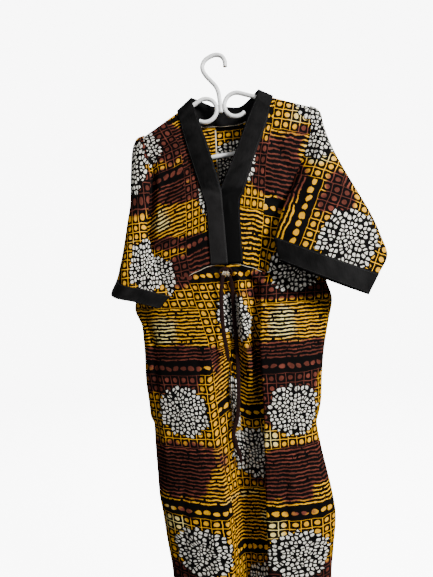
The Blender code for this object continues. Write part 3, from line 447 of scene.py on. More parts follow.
@dataclass(frozen=True)
class DressForm:
    """The sections that every cut piece of cloth follows."""

    hanger: HangerForm = HangerForm()
    seam_z: float = -0.4445
    seam_end_drop: float = 0.0220
    seam_half: float = 0.0765
    seam_middle_x: float = -0.0045
    seam_levels_in: float = 0.115
    seam_fade: float = 0.16
    seam_curve: float = 1.8
    hem_z: float = -1.460
    back_seam_x: float = -0.0150
    edge_setback: float = 0.0011
    round_start: float = 2.2
    round_end: float = 0.62
    settle_from: float = 0.45
    chest_top_z: float = -0.105
    chest_drop: float = 0.215
    chest_near: float = 0.0065
    chest_top: float = 0.0085
    chest_front: float = 0.0440
    chest_back: float = 0.0270
    chest_middle_x: float = 0.008
    chest_half: float = 0.205
    chest_fill: float = 1.9
    chest_sides: float = 2.8
    neck_share: float = 0.52
    roll_step: float = 0.0025
    back_flute: float = 0.0075
    back_flutes: float = 2.3
    back_edge_fade: float = 1.5
    flute_fade: float = 0.5
    lap_forward: float = 0.0028
    lap_lower: float = 0.0080
    lap_inward: float = 0.0012
    saddle_turns: tuple = (0.38, 0.24, 0.08, -0.10, -0.30)

    def neck_reach(self, side: Side) -> float:
        """Where a shoulder seam starts, from the post."""
        return 0.0930 if side is Side.LEFT else 0.1085

    def armhole_reach(self, side: Side) -> float:
        """Where a shoulder seam ends, from the post."""
        return 0.176 if side is Side.LEFT else 0.186

    def shoulder_reach(self, side: Side, u: Array) -> Array:
        """Distance from the post between the armhole (u = 0) and the neck (u = 1)."""
        return mix(self.armhole_reach(side), self.neck_reach(side), u)

    def settle(self, t: Array) -> Array:
        """How far a place down the bodice has taken the skirt's form."""
        return limit((t - self.settle_from) / (1 - self.settle_from))

    def rounded(self, u: Array) -> Array:
        """Rise of a section from its side edge (u = 0) to its crest (u = 1)."""
        return (1 - (1 - limit(u)) ** self.round_start) ** self.round_end

    def chest_depth(self, x: Array, z: Array, fullest: float) -> Array:
        """Distance of the bodice from the plane of the hanger."""
        drop = limit((self.chest_top_z - z) / self.chest_drop)
        middle = mix(self.chest_top, fullest, 1 - (1 - drop) ** self.chest_fill)
        across = limit(np.abs(x - self.chest_middle_x) / self.chest_half)
        return mix(self.chest_near, middle, 1 - across ** self.chest_sides)

    def seam_drop(self, x: Array) -> Array:
        """How far the centre seam hangs at x below its middle."""
        away = np.abs(x - self.seam_middle_x)
        level = limit((away - self.seam_half) / self.seam_levels_in)
        return (self.seam_end_drop * limit(away / self.seam_half) ** self.seam_curve
                * (1 - level ** 2 * (3 - 2 * level)))

    def outline(self, name: str, z: float) -> float:
        """One measure of the skirt at a height: "left", "right" or "back"."""
        return at_height(OUTLINE_ROWS, OUTLINE_NAMES.index(name), z)

    def fold_place(self, name: str, z: float) -> tuple[float, float]:
        """Where a ridge or valley of the centre folds lies at a height: x and y."""
        column = 1 + 2 * FOLD_NAMES.index(name)
        return at_height(FOLD_ROWS, column, z), at_height(FOLD_ROWS, column + 1, z)

    def skirt_heights(self, rows: int, crowding: float) -> list[float]:
        """Heights of the skirt's rows, closer together near the centre seam."""
        return [mix(self.seam_z, self.hem_z, (k / rows) ** crowding) for k in range(rows + 1)]

    def skirt_row(self, z: float, side: Side, u: Array, front: bool) -> Array:
        """Points of a skirt row between a side seam (u = 0) and the first ridge (u = 1)."""
        edge = self.outline(side.word, z)
        if front:
            crest_x, crest_y = self.fold_place("r1" if side is Side.LEFT else "r4", z)
            y = np.minimum(crest_y * self.rounded(u), -self.edge_setback)
        else:
            crest_x = self.back_seam_x
            wave = (self.back_flute * limit((self.seam_z - z) / self.flute_fade)
                    * np.sin(2 * pi * self.back_flutes * u) * np.sin(pi * u))
            y = np.maximum(self.outline("back", z) * self.rounded(u) + wave, self.edge_setback)
        return np.stack((mix(edge, crest_x, u), y, np.full_like(u, z)), axis=-1)

    def hang(self, points: Array, z: float) -> Array:
        """Skirt points dropped by the seam's arch, less and less below it."""
        fade = limit(1 - (self.seam_z - z) / self.seam_fade)
        hung = points.copy()
        hung[..., 2] -= self.seam_drop(points[..., 0]) * fade
        return hung

    def armhole(self, side: Side, t: float, front: bool) -> Array:
        """The armhole edge, from the shoulder tip (t = 0) to the underarm (t = 1)."""
        first = self.hanger.shoulder(side, self.armhole_reach(side), pi / 2 if front else -pi / 2)
        last = self.hang(self.skirt_row(self.seam_z, side, np.zeros(1), front), self.seam_z)[0]
        rows = metres((FRONT_ARMHOLE if front else BACK_ARMHOLE)[side])
        x, z = along(np.vstack((first[::2], rows, last[::2])), t)
        depth = self.chest_depth(x, z, self.chest_front if front else self.chest_back)
        depth = mix(depth, self.edge_setback, self.settle(t))
        return np.array((x, -depth if front else depth, z))

    def front_inner(self, side: Side, t: float) -> Array:
        """The bodice's neck edge, from the shoulder (t = 0) to the centre seam (t = 1)."""
        first = self.hanger.shoulder(side, self.neck_reach(side), pi / 2)
        x, z = along(np.vstack((first[::2], metres(FRONT_NECK[side]))), t)
        return np.array((x, 0.0, z))

    def front_roll(self, side: Side, around: float, u: Array) -> Array:
        """A row of the front where it lies over the arm."""
        return self.hanger.shoulder(side, self.shoulder_reach(side, u), around)

    def front_bodice(self, side: Side, t: float, u: Array) -> Array:
        """A row of one half of the bodice, from the armhole (u = 0) to the neck (u = 1)."""
        points = mix(self.armhole(side, t, True), self.front_inner(side, t), u[:, None])
        settle = self.settle(t)
        last = self.skirt_row(self.seam_z, side, u, True)
        depth = self.chest_depth(points[:, 0], points[:, 2], self.chest_front)
        points[:, 1] = mix(-depth, last[:, 1], settle)
        points[:, 2] = mix(points[:, 2], self.hang(last, self.seam_z)[:, 2], settle ** 2)
        return points

    def front_folds(self, z: float, u: Array) -> Array:
        """A row of the centre folds, from the left ridge (u = 0) to the right one (u = 1)."""
        knots = [(*self.fold_place(name, z), z) for name in FOLD_NAMES]
        return self.hang(along(np.array(knots), u), z)

    def back_top(self, side: Side, u: Array, turn: float, around: float) -> Array:
        """The back's top edge: the shoulder seam, then the neck curve."""
        over = self.front_roll(side, -around, limit(u / self.neck_share))
        start = self.hanger.shoulder(side, self.neck_reach(side), -around)
        drop = np.array((0.0, 0.0, -self.roll_step * turn))
        knots = np.vstack((start, metres(BACK_NECK[side]) + drop))
        curve = along(knots, (u - self.neck_share) / (1 - self.neck_share))
        return np.where((u <= self.neck_share)[:, None], over, curve)

    def back_body(self, side: Side, t: float, u: Array) -> Array:
        """A row of one half of the back above the waist."""
        level = self.hang(self.skirt_row(self.seam_z, side, u, False), self.seam_z)
        top = self.back_top(side, u, 2, pi / 2)
        first = self.back_top(side, np.zeros(1), 2, pi / 2)[0]
        edge = self.armhole(side, t, False) - mix(first, level[0], t)
        points = mix(top, level, t) + edge * ((1 - u) ** self.back_edge_fade)[:, None]
        depth = self.chest_depth(points[:, 0], points[:, 2], self.chest_back)
        points[:, 1] = mix(np.maximum(depth, top[:, 1] * (1 - t)), level[:, 1], self.settle(t))
        return points

    def sleeve_ends(self, side: Side, down: float) -> tuple[Array, Array]:
        """Where a sleeve row starts on the front armhole and ends on the back one."""
        settle = self.settle(down)
        inward = -side.value * self.lap_inward * (1 - settle)
        forward = self.lap_forward + self.lap_lower * settle
        start = self.armhole(side, down, True) + np.array((inward, -forward, 0.0))
        end = self.armhole(side, down, False) + np.array((inward, forward, 0.0))
        return start, end

    def sleeve_row(self, side: Side, t: float, u: Array) -> Array:
        """A row of a sleeve, from the armhole (t = 0) to the cuff (t = 1)."""
        rings = SLEEVE_RINGS[side]
        unders = metres(SLEEVE_UNDERS[side])
        reach = self.armhole_reach(side) - self.lap_inward
        saddle = [self.hanger.shoulder(side, reach, turn * pi, self.lap_forward)
                  for turn in self.saddle_turns]
        middles = np.array([saddle] + [metres(ring) for ring in rings])
        middle = np.array([along(middles[:, n], t) for n in range(len(saddle))])
        past_closing = t * len(rings) - (len(rings) - len(unders) + 1)
        if past_closing >= 0:
            under = along(unders, past_closing / (len(unders) - 1))
            return along(np.vstack((under, middle, under)), u)
        start, end = self.sleeve_ends(side, float(along(RING_DOWNS, t)))
        share = limit(past_closing + 1) ** 2
        return along(np.vstack((mix(start, unders[0], share), middle, mix(end, unders[0], share))), u)

    def cuff_row(self, side: Side, share: float, u: Array) -> Array:
        """A row of a cuff, from the sleeve (share = 0) to its free edge (share = 1)."""
        sewn, free = SLEEVE_UNDERS[side][-1:] + SLEEVE_RINGS[side][-1], CUFF_EDGE[side]
        rows = [along(metres(places + places[:1]), u) for places in (sewn, free)]
        return mix(rows[0], rows[1], share)

    def band_edges(self, side: Side, over: float) -> tuple[Array, Array]:
        """The free and sewn edges of a neck band, over metres in front of the bodice."""
        edges = metres(BAND_BACK_ROWS[side])
        frees, sewns = list(edges[:, 0]), list(edges[:, 1])
        for free_x, free_z, sewn_x, sewn_z, lift in BAND_FRONT_ROWS[side]:
            for x, z, up, edge in ((free_x, free_z, lift, frees), (sewn_x, sewn_z, 0.0, sewns)):
                depth = self.chest_depth(x * MM, z * MM, self.chest_front)
                edge.append((x * MM, -depth - over - up * MM, z * MM))
        return np.array(frees), np.array(sewns)


FORM = DressForm()


# ---------------------------------------------------------------- finishes
def operator(operation: str, swapped: bool = False) -> Callable[..., "Wire"]:
    """A method of Wire that adds a Math node.

    Args:
        operation: the node's operation.
        swapped: whether the wire itself comes last.

    Returns:
        The method.
    """
    def apply(wire: "Wire", *others: "Value") -> "Wire":
        values = (*others, wire) if swapped else (wire, *others)
        return wire.weaver.math(operation, *values)

    return apply


@dataclass(frozen=True)
class Wire:
    """An output in a node tree.  Arithmetic on it adds Math nodes."""

    weaver: "Weaver"
    socket: bpy.types.NodeSocket

    __add__ = __radd__ = operator("ADD")
    __sub__ = operator("SUBTRACT")
    __rsub__ = operator("SUBTRACT", True)
    __mul__ = __rmul__ = operator("MULTIPLY")
    __truediv__ = operator("DIVIDE")
    __mod__ = operator("FLOORED_MODULO")
    __pow__ = operator("POWER")
    __abs__ = operator("ABSOLUTE")
    floor = operator("FLOOR")
    fraction = operator("FRACT")
    root = operator("SQRT")
    sine = operator("SINE")
    logarithm = operator("LOGARITHM")
    least = operator("MINIMUM")
    most = operator("MAXIMUM")
    is_under = operator("LESS_THAN")
    is_over = operator("GREATER_THAN")


Value = Union[float, Sequence[float], bpy.types.NodeSocket, Wire]


class Weaver:
    """Short calls that build a material's node tree."""

    def __init__(self, name: str, roughness: float, specular: float = 0.3) -> None:
        """Start a material with a Principled shader of constant roughness and specular."""
        self.material = bpy.data.materials.new(name)
        self.material.use_nodes = True
        self.tree = self.material.node_tree
        self.shader = self.tree.nodes["Principled BSDF"]
        self.set(self.shader, {"Roughness": roughness, "Specular IOR Level": specular})

    def feed(self, socket: bpy.types.NodeSocket, value: Value) -> None:
        """Set a socket to a constant, or link another socket to it."""
        source = value.socket if isinstance(value, Wire) else value
        if isinstance(source, bpy.types.NodeSocket):
            self.tree.links.new(source, socket)
        else:
            socket.default_value = source

    def set(self, node: bpy.types.Node, inputs: dict) -> None:
        """Feed a node's inputs by name or number."""
        for key, value in inputs.items():
            self.feed(node.inputs[key], value)

    def node(self, kind: str, inputs: dict, **settings: object) -> bpy.types.Node:
        """Add a node, set its properties and feed its inputs."""
        made = self.tree.nodes.new("ShaderNode" + kind)
        for key, value in settings.items():
            setattr(made, key, value)
        self.set(made, inputs)
        return made

    def wire(self, node: bpy.types.Node, output: Union[int, str] = 0) -> Wire:
        """One of a node's outputs."""
        return Wire(self, node.outputs[output])

    def math(self, operation: str, *values: Value) -> Wire:
        """A Math node's result."""
        return self.wire(self.node("Math", dict(enumerate(values)), operation=operation))

    def join(self, x: Value, y: Value) -> Wire:
        """A flat vector from two values."""
        return self.wire(self.node("CombineXYZ", {0: x, 1: y}))

    def split(self, vector: Wire) -> tuple[Wire, Wire, Wire]:
        """A vector's three values."""
        made = self.node("SeparateXYZ", {0: vector})
        return self.wire(made, 0), self.wire(made, 1), self.wire(made, 2)

    def uv(self, name: str) -> Wire:
        """The coordinates of one of the piece's UV maps."""
        return self.wire(self.node("UVMap", {}, uv_map=name))

    def place(self) -> Wire:
        """The piece's own Object coordinates."""
        return self.wire(self.node("TexCoord", {}), "Object")

    def noise(self, vector: Wire, scale: float, detail: float, dimensions: str = "2D") -> Wire:
        """Soft noise between 0 and 1."""
        inputs = {"Vector": vector, "Scale": scale, "Detail": detail}
        return self.wire(self.node("TexNoise", inputs, noise_dimensions=dimensions))

    def cracks(self, vector: Wire, feature: str, scale: float, randomness: float) -> bpy.types.Node:
        """A flat Voronoi texture's node."""
        inputs = {"Vector": vector, "Scale": scale, "Randomness": randomness}
        return self.node("TexVoronoi", inputs, voronoi_dimensions="2D", feature=feature)

    def stretch(self, vector: Wire, x: float, y: float) -> Wire:
        """A vector with its first two values multiplied."""
        return self.wire(self.node("VectorMath", {0: vector, 1: (x, y, 1.0)}, operation="MULTIPLY"))

    def ramp(self, value: Value, low: float, high: float, start: Value = 0.0,
             end: Value = 1.0, kind: str = "SMOOTHSTEP") -> Wire:
        """Go from start to end while value goes from low to high."""
        inputs = dict(enumerate((value, low, high, start, end)))
        return self.wire(self.node("MapRange", inputs, interpolation_type=kind))

    def below(self, value: Value, edge: float, soft: float) -> Wire:
        """1 where value is below edge, 0 above it."""
        return self.ramp(value, edge - soft, edge + soft, 1.0, 0.0)

    def blend(self, factor: Value, a: Value, b: Value) -> Wire:
        """A colour between a and b."""
        return self.wire(self.node("Mix", {0: factor, 6: a, 7: b}, data_type="RGBA"), 2)

    def shades(self, value: Wire, *stops: tuple[float, Sequence[float]]) -> Wire:
        """A colour ramp through the given stops."""
        made = self.node("ValToRGB", {0: value})
        ramp = made.color_ramp
        while len(ramp.elements) < len(stops):
            ramp.elements.new(1.0)
        for element, (position, colour) in zip(ramp.elements, stops):
            element.position = position
            element.color = colour
        return self.wire(made)

    def bump(self, height: Wire, distance: float, strength: float,
             below: Optional[Wire] = None) -> Wire:
        """A bumped normal, on top of another one if it is given."""
        inputs = {"Strength": strength, "Distance": distance, "Height": height}
        if below is not None:
            inputs["Normal"] = below
        return self.wire(self.node("Bump", inputs))

    def weave(self, vector: Wire, pitch: float) -> Wire:
        """The height of a plain weave whose threads are pitch apart."""
        x, y, _ = self.split(vector)
        turn = 2 * pi / pitch
        return (x * turn).sine() * (y * turn).sine()

    def finish(self, colour: Wire, normal: Wire) -> bpy.types.Material:
        """Link the colour and the normal, and return the material."""
        self.set(self.shader, {"Base Color": colour, "Normal": normal})
        return self.material


def paint(red: int, green: int, blue: int) -> tuple[float, float, float, float]:
    """A display colour of 0 to 255 as linear light."""
    linear = [((c / 255 + 0.055) / 1.055) ** 2.4 if c > 10 else c / 255 / 12.92
              for c in (red, green, blue)]
    return (linear[0], linear[1], linear[2], 1.0)


@dataclass(frozen=True)
class WaxPrint:
    """The wax print: columns of pebbled discs, grids of dots, wavy bars and dotted bands.

    The UV map "chart" holds fabric metres: across the columns, and down them from a band's
    middle.  The map "dye" holds how much lower the odd columns are set, and the dye's tone.
    Where that drop is above 0, the odd columns are mirrored too.
    """

    column: float = 0.168
    repeat: float = 0.300
    wander: float = 0.0038
    wander_grains: tuple = (55.0, 62.0)
    sharp: float = 0.0003
    band_half: float = 0.0145
    grid_end: float = 0.165
    cells: int = 9
    cell_rows: int = 8
    line_edge: tuple = (0.460, 0.010)
    dot_radius: float = 0.25
    dot_power: float = 2.1
    rim_soft: float = 0.10
    disc_u: float = 0.090
    disc_v: float = 0.090
    disc_wide: float = 0.062
    disc_high: float = 0.058
    disc_black: float = 0.86
    disc_soft: float = 0.001
    disc_seeds: tuple = (1.7, 2.3)
    seed_shifts: tuple = (23.0, 31.0)
    pebble: float = 0.0067
    pebble_growth: float = 0.088
    pebble_random: float = 0.80
    pebble_edge: tuple = (0.145, 0.215)
    pebble_round: tuple = (0.415, 0.050)
    rim_cut: float = 0.42
    oval_pitch: float = 0.0165
    oval_wide: float = 0.37
    oval_high: float = 0.0046
    oval_power: float = 2.3
    oval_jitter: tuple = (0.12, 0.0035, 0.012)
    oval_seed: float = 7.0
    bars: int = 15
    bars_start: float = 0.0015
    bar_thin: float = 0.055
    bar_swell: float = 0.24
    bar_edge: tuple = (-0.02, 0.03)
    ripple_grain: tuple = (34.0, 22.0)
    swell_grain: tuple = (150.0, 5.3)
    cut_grain: tuple = (95.0, 9.1, 60.0)
    cut_edge: tuple = (0.30, 0.335)
    crackle_grain: float = 150.0
    crackle_edge: tuple = (0.035, 0.02)
    crackle_patches: tuple = (0.50, 0.60)
    crackle_patch_grain: float = 240.0
    crackle_fade: float = 0.6
    stain: float = 0.55
    stain_grain: float = 38.0
    hatch_grain: tuple = (620.0, 260.0)
    hatch_edge: tuple = (0.50, 0.66)
    thread_pitch: float = 0.0006
    thread_depth: float = 0.00008
    rumple: float = 0.0022
    rumple_grain: float = 60.0
    black: tuple = paint(7, 6, 6)
    brown: tuple = paint(77, 39, 31)
    rust: tuple = paint(110, 56, 45)
    yellow: tuple = paint(216, 154, 2)
    cream: tuple = paint(234, 212, 130)
    white: tuple = paint(232, 228, 216)
    grey: tuple = paint(128, 124, 116)

    def discs(self, w: Weaver, u: Wire, v: Wire, seed: Wire) -> tuple[Wire, Wire]:
        """Masks of the pebbles, which grow from the middle, and of the black disc below them."""
        x = u - self.disc_u
        y = (v - self.disc_v) * (self.disc_wide / self.disc_high)
        away = (x * x + y * y).root()
        steepness = self.pebble_growth / self.pebble
        scale = (away * steepness + 1.0).logarithm(np.e) / self.pebble_growth / away.most(1e-5)
        shift_x, shift_y = [seed * shift for shift in self.seed_shifts]
        cells = w.join(x * scale + shift_x, y * scale + shift_y)
        nearest = w.cracks(cells, "F1", 1.0, self.pebble_random)
        edges = w.cracks(cells, "DISTANCE_TO_EDGE", 1.0, self.pebble_random)
        at_x, at_y, _ = w.split(w.wire(nearest, "Position"))
        middle_x, middle_y = at_x - shift_x, at_y - shift_y
        rim = (middle_x * middle_x + middle_y * middle_y).root()
        full = float(np.log(1 + steepness * self.disc_wide) / self.pebble_growth) - self.rim_cut
        inside = rim.is_under(full)
        pebble = (w.ramp(w.wire(edges, "Distance"), *self.pebble_edge)
                  * w.below(w.wire(nearest, "Distance"), *self.pebble_round))
        black = w.below(away, self.disc_wide * self.disc_black, self.disc_soft)
        return pebble * inside, inside.most(black)

    def ovals(self, w: Weaver, u: Wire, v: Wire, number: Wire) -> Wire:
        """Mask of a band's leaning ovals; v is 0 at the band's middle."""
        at = u / self.oval_pitch
        jitter = w.node("TexWhiteNoise", {"Vector": w.join(at.floor(), number)}, noise_dimensions="2D")
        across, down, lean = [(part - 0.5) * most for part, most in zip(
            w.split(w.wire(jitter, "Color")), self.oval_jitter)]
        x = at.fraction() - 0.5 - across
        y = x * lean + (v + down)
        away = abs(x / self.oval_wide) ** self.oval_power + abs(y / self.oval_high) ** self.oval_power
        return w.below(away, 1.0, self.rim_soft)

    def grid(self, w: Weaver, u: Wire, v: Wire) -> Wire:
        """Mask of the grid's lines and dots."""
        deep = (self.grid_end - self.band_half) / self.cell_rows
        across = abs((u / (self.column / self.cells)).fraction() - 0.5)
        down = abs(((v - self.band_half) / deep).fraction() - 0.5)
        line = 1.0 - w.below(across.most(down), *self.line_edge)
        away = ((across / self.dot_radius) ** self.dot_power
                + (down / self.dot_radius) ** self.dot_power)
        return line.most(w.below(away, 1.0, self.rim_soft))

    def wavy_bars(self, w: Weaver, u: Wire, v: Wire, v_all: Wire) -> Wire:
        """Mask of the wavy bars, which swell and break off."""
        deep = (self.repeat - self.band_half - self.grid_end) / self.bars
        ripple = w.noise(w.join(u * self.ripple_grain[0], v_all * self.ripple_grain[1]), 1.0, 3.0)
        at = (v - self.grid_end) / deep + (ripple - 0.5)
        number = at.floor()
        near = abs(at.fraction() - 0.5)
        swell = w.noise(w.join(u * self.swell_grain[0], number * self.swell_grain[1]), 1.0, 2.0)
        cut_u, cut_bar, cut_v = self.cut_grain
        cuts = w.noise(w.join(u * cut_u, number * cut_bar + v_all * cut_v), 1.0, 1.0)
        bar = w.ramp(swell * self.bar_swell + self.bar_thin - near, *self.bar_edge)
        return bar * w.ramp(cuts, *self.cut_edge)

    def material(self, name: str) -> bpy.types.Material:
        """Build the print's material, which reads the maps "chart" and "dye"."""
        w = Weaver(name, 0.85, 0.04)
        chart = w.uv("chart")
        raw_u, raw_v, _ = w.split(chart)
        drop, tone, _ = w.split(w.uv("dye"))
        other_place = w.stretch(chart, -1.0, 1.3)
        u_all = (w.noise(chart, self.wander_grains[0], 2.0) - 0.5) * self.wander + raw_u
        v_all = (w.noise(other_place, self.wander_grains[1], 2.0) - 0.5) * self.wander + raw_v
        column = (u_all / self.column).floor()
        parity = column % 2.0
        even_u = u_all - column * self.column
        turned = parity * drop.is_over(0.0)
        u = w.ramp(turned, 0.0, 1.0, even_u, self.column - even_u, "LINEAR")
        down = v_all - parity * drop
        row = (down / self.repeat).floor()
        v = down - row * self.repeat

        half = self.repeat / 2
        from_band = (v + half) % self.repeat - half
        ovals = self.ovals(w, u_all, from_band, row + column * self.oval_seed)
        pebble, disc = self.discs(w, u, v, column * self.disc_seeds[0] + row * self.disc_seeds[1])
        band = w.below(v.least(self.repeat - v), self.band_half, self.sharp)
        in_grid = w.below(v, self.grid_end, self.sharp) * (1.0 - band)
        in_bars = (1.0 - w.below(v, self.grid_end + self.bars_start, self.sharp)) * (1.0 - band)
        dyed = (band * ovals + in_grid * (1.0 - disc) * self.grid(w, u, v)
                + in_bars * self.wavy_bars(w, u_all, v, v_all))

        stain = (w.noise(chart, self.stain_grain, 3.0) - 0.5) * self.stain + tone
        tint = w.shades(stain, (0.0, self.brown), (0.16, self.rust), (0.36, self.yellow),
                        (0.62, self.yellow), (0.88, self.cream))
        crackle = w.wire(w.cracks(chart, "DISTANCE_TO_EDGE", self.crackle_grain, 1.0), "Distance")
        veined = w.ramp(w.noise(chart, self.crackle_patch_grain, 1.0), *self.crackle_patches)
        keep = 1.0 - w.below(crackle, *self.crackle_edge) * veined * self.crackle_fade
        hatch = w.ramp(w.noise(w.stretch(chart, *self.hatch_grain), 1.0, 2.0), *self.hatch_edge)
        cloth = w.blend(dyed * keep, self.black, tint)
        colour = w.blend(pebble * in_grid * keep, cloth, w.blend(hatch, self.white, self.grey))
        weave = w.bump(w.weave(chart, self.thread_pitch), self.thread_depth, 0.35)
        rumple = w.noise(w.place(), self.rumple_grain, 3.0, "3D")
        return w.finish(colour, w.bump(rumple, self.rumple, 0.40, weave))


@dataclass(frozen=True)
class BlackSateen:
    """The black cotton of the bands and cuffs: a close weave, with a faint streaky sheen painted into its
    colour.
    """

    deep: tuple = paint(4, 4, 4)
    # the grey that the painted sheen streaks, the painted light and the cloud of tone blend towards
    pale: tuple = paint(32, 31, 31)
    placket_z: float = -0.300
    placket_end: float = -0.285
    painted_sheen_streak: float = 0.55
    cloud: float = 0.70
    dark: float = 0.38
    thread_pitch: float = 0.0005

    def material(self, name: str, lift: float = 0.0, placket_painted_light: float = 0.0) -> bpy.types.Material:
        """Build the sateen, which reads the map "chart".

        Args:
            name: the material's name.
            lift: painted light: how much greyer (painted sheen, above 0) or darker (painted shade, below
                0) it is drawn, where the light falls on its nap more or less.
            placket_painted_light: the same below the V, where the two bands lie flat as a placket.

        Returns:
            The material.
        """
        w = Weaver(name, 0.60, 0.05)
        _, _, height = w.split(w.place())
        # painted light and shade: the band is drawn greyer or darker than the cloth, with one share above
        # the placket's top and another below it
        lifted = w.ramp(height, self.placket_z, self.placket_end, placket_painted_light, lift)
        chart = w.uv("chart")
        # painted sheen: greyer streaks along the weave, on top of the cloth's random cloud of tone
        painted_sheen_streak = w.noise(w.stretch(chart, 900.0, 60.0), 1.0, 3.0)
        share = painted_sheen_streak * self.painted_sheen_streak + w.noise(chart, 40.0, 3.0) * self.cloud - self.dark
        weave = w.bump(w.weave(chart, self.thread_pitch), 0.00006, 0.3)
        rumple = w.bump(w.noise(w.place(), 120.0, 3.0, "3D"), 0.0008, 0.3, weave)
        return w.finish(w.blend(share + lifted, self.deep, self.pale), rumple)


@dataclass(frozen=True)
class PlainFinish:
    """A finish of one dye with fine grain: threads, ties, and the hanger's plastic."""

    colour: tuple
    shade: tuple
    roughness: float
    grain: float
    bump_depth: float = 0.0001
    specular: float = 0.3

    def material(self, name: str) -> bpy.types.Material:
        """Build the finish."""
        w = Weaver(name, self.roughness, self.specular)
        place = w.place()
        cloud = w.ramp(w.noise(place, self.grain, 4.0, "3D"), 0.3, 0.75)
        grain = w.bump(w.noise(place, self.grain * 4, 2.0, "3D"), self.bump_depth, 0.35)
        return w.finish(w.blend(cloud, self.shade, self.colour), grain)


# ---------------------------------------------------------------- mesh helpers
def placed(name: str, data: bpy.types.ID) -> bpy.types.Object:
    """A new object in the scene."""
    made = bpy.data.objects.new(name, data)
    bpy.context.scene.collection.objects.link(made)
    return made


def as_mesh(name: str, shape: bmesh.types.BMesh) -> bpy.types.Mesh:
    """Hand a finished shape over as a mesh."""
    mesh = bpy.data.meshes.new(name)
    shape.to_mesh(mesh)
    shape.free()
    return mesh


def finish_mesh(name: str, shape: bmesh.types.BMesh, weld: float = 0.00002) -> bpy.types.Mesh:
    """Weld doubles, turn the faces outwards and hand over a mesh."""
    bmesh.ops.remove_doubles(shape, verts=shape.verts, dist=weld)
    bmesh.ops.recalc_face_normals(shape, faces=shape.faces)
    return as_mesh(name, shape)


def joined(name: str, meshes: Sequence[bpy.types.Mesh]) -> bpy.types.Mesh:
    """Several meshes as one."""
    shape = bmesh.new()
    for mesh in meshes:
        shape.from_mesh(mesh)
        bpy.data.meshes.remove(mesh)
    return as_mesh(name, shape)


def add_piece(mesh: bpy.types.Mesh, material: bpy.types.Material,
              replaces: Sequence[str] = ()) -> bpy.types.Object:
    """Link a mesh as a smooth piece of its own name that rides on the body.

    Args:
        mesh: the piece's mesh, in place.
        material: its finish.
        replaces: the CAD nodes that it stands for.

    Returns:
        The object.
    """
    made = placed(mesh.name, mesh)
    mesh.materials.append(material)
    mesh.shade_smooth()
    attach(made, BODY)
    if replaces:
        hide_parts(*replaces)
    LOG.info("%s: %d faces", mesh.name, len(mesh.polygons))
    return made


def cloth_mesh(name: str, points: Array, chart: Array, lower: Optional[Array] = None,
               seam_row: int = 0) -> bpy.types.Mesh:
    """A grid of cloth with its print chart.

    Args:
        name: the mesh's name.
        points: places by row and column; not-a-number where the cloth is cut away.
        chart: by row and column, fabric metres across and down, the odd columns' drop and tone.
        lower: the chart of the faces from seam_row down, where it differs.
        seam_row: the row of the seam.

    Returns:
        The mesh, with the UV maps "chart" and "dye".
    """
    rows, columns = points.shape[:2]
    grid = bmesh.new()
    bmesh.ops.create_grid(grid, x_segments=columns - 1, y_segments=rows - 1, size=1.0)
    chart_map = grid.loops.layers.uv.new("chart")
    dye_map = grid.loops.layers.uv.new("dye")
    where = {}
    for vert in grid.verts:
        column = round((vert.co.x + 1) / 2 * (columns - 1))
        where[vert] = (round((1 - vert.co.y) / 2 * (rows - 1)), column)
    for face in grid.faces:
        below = lower is not None and min(where[vert][0] for vert in face.verts) >= seam_row
        values = lower if below else chart
        for loop in face.loops:
            across, down, drop, tone = values[where[loop.vert]]
            loop[chart_map].uv = (across, down)
            loop[dye_map].uv = (drop, tone)
    cut = []
    for vert in grid.verts:
        point = points[where[vert]]
        if np.isnan(point[0]):
            cut.append(vert)
        else:
            vert.co = point
    bmesh.ops.delete(grid, geom=cut, context="VERTS")
    return finish_mesh(name, grid)


def add_cloth(mesh: bpy.types.Mesh, material: bpy.types.Material, replaces: Sequence[str],
              black: bool = False) -> bpy.types.Object:
    """Add a piece of printed or black cloth, with half its thickness on each side of its mesh."""
    made = add_piece(mesh, material, replaces)
    wall = made.modifiers.new("wall", "SOLIDIFY")
    wall.thickness = BLACK_THICK if black else COTTON_THICK
    wall.offset = 0.0
    return made


def plain_chart(points: Array) -> Array:
    """A chart by plain distance along the rows and down the middle column."""
    chart = np.zeros(points.shape[:2] + (4,))
    for row, line in enumerate(points):
        chart[row, :, 0] = lengths(line)
    chart[:, :, 1] = lengths(points[:, points.shape[1] // 2])[:, None]
    return chart


def tube_mesh(name: str, centres: Array, radius: Union[float, Array], sides: int,
              flat: float = 1.0) -> bpy.types.Mesh:
    """A closed tube along a line of centres.

    Args:
        name: the mesh's name.
        centres: the line.
        radius: its radius, or one for each centre.
        sides: faces round it.
        flat: its depth as a share of its width.

    Returns:
        The mesh, capped at both ends.
    """
    radii = np.broadcast_to(np.asarray(radius, float), (len(centres),))
    tangents = np.gradient(centres, axis=0)
    tangents /= np.linalg.norm(tangents, axis=1)[:, None]
    side_way = np.array((1.0, 0.0, 0.0)) if abs(tangents[0][0]) < 0.8 else np.array((0.0, 1.0, 0.0))
    shape = bmesh.new()
    bmesh.ops.create_grid(shape, x_segments=sides, y_segments=len(centres) - 1, size=1.0)
    frames = []
    for tangent in tangents:
        side_way = side_way - tangent * np.dot(side_way, tangent)
        side_way /= np.linalg.norm(side_way)
        frames.append((side_way, np.cross(tangent, side_way)))
    for vert in shape.verts:
        turn = (vert.co.x + 1) * pi
        row = round((1 - vert.co.y) / 2 * (len(centres) - 1))
        wide, deep = frames[row]
        vert.co = centres[row] + radii[row] * (wide * cos(turn) + deep * flat * sin(turn))
    weld = radii.min() * 0.02
    bmesh.ops.remove_doubles(shape, verts=shape.verts, dist=weld)
    bmesh.ops.holes_fill(shape, edges=[edge for edge in shape.edges if edge.is_boundary], sides=0)
    return finish_mesh(name, shape, weld)


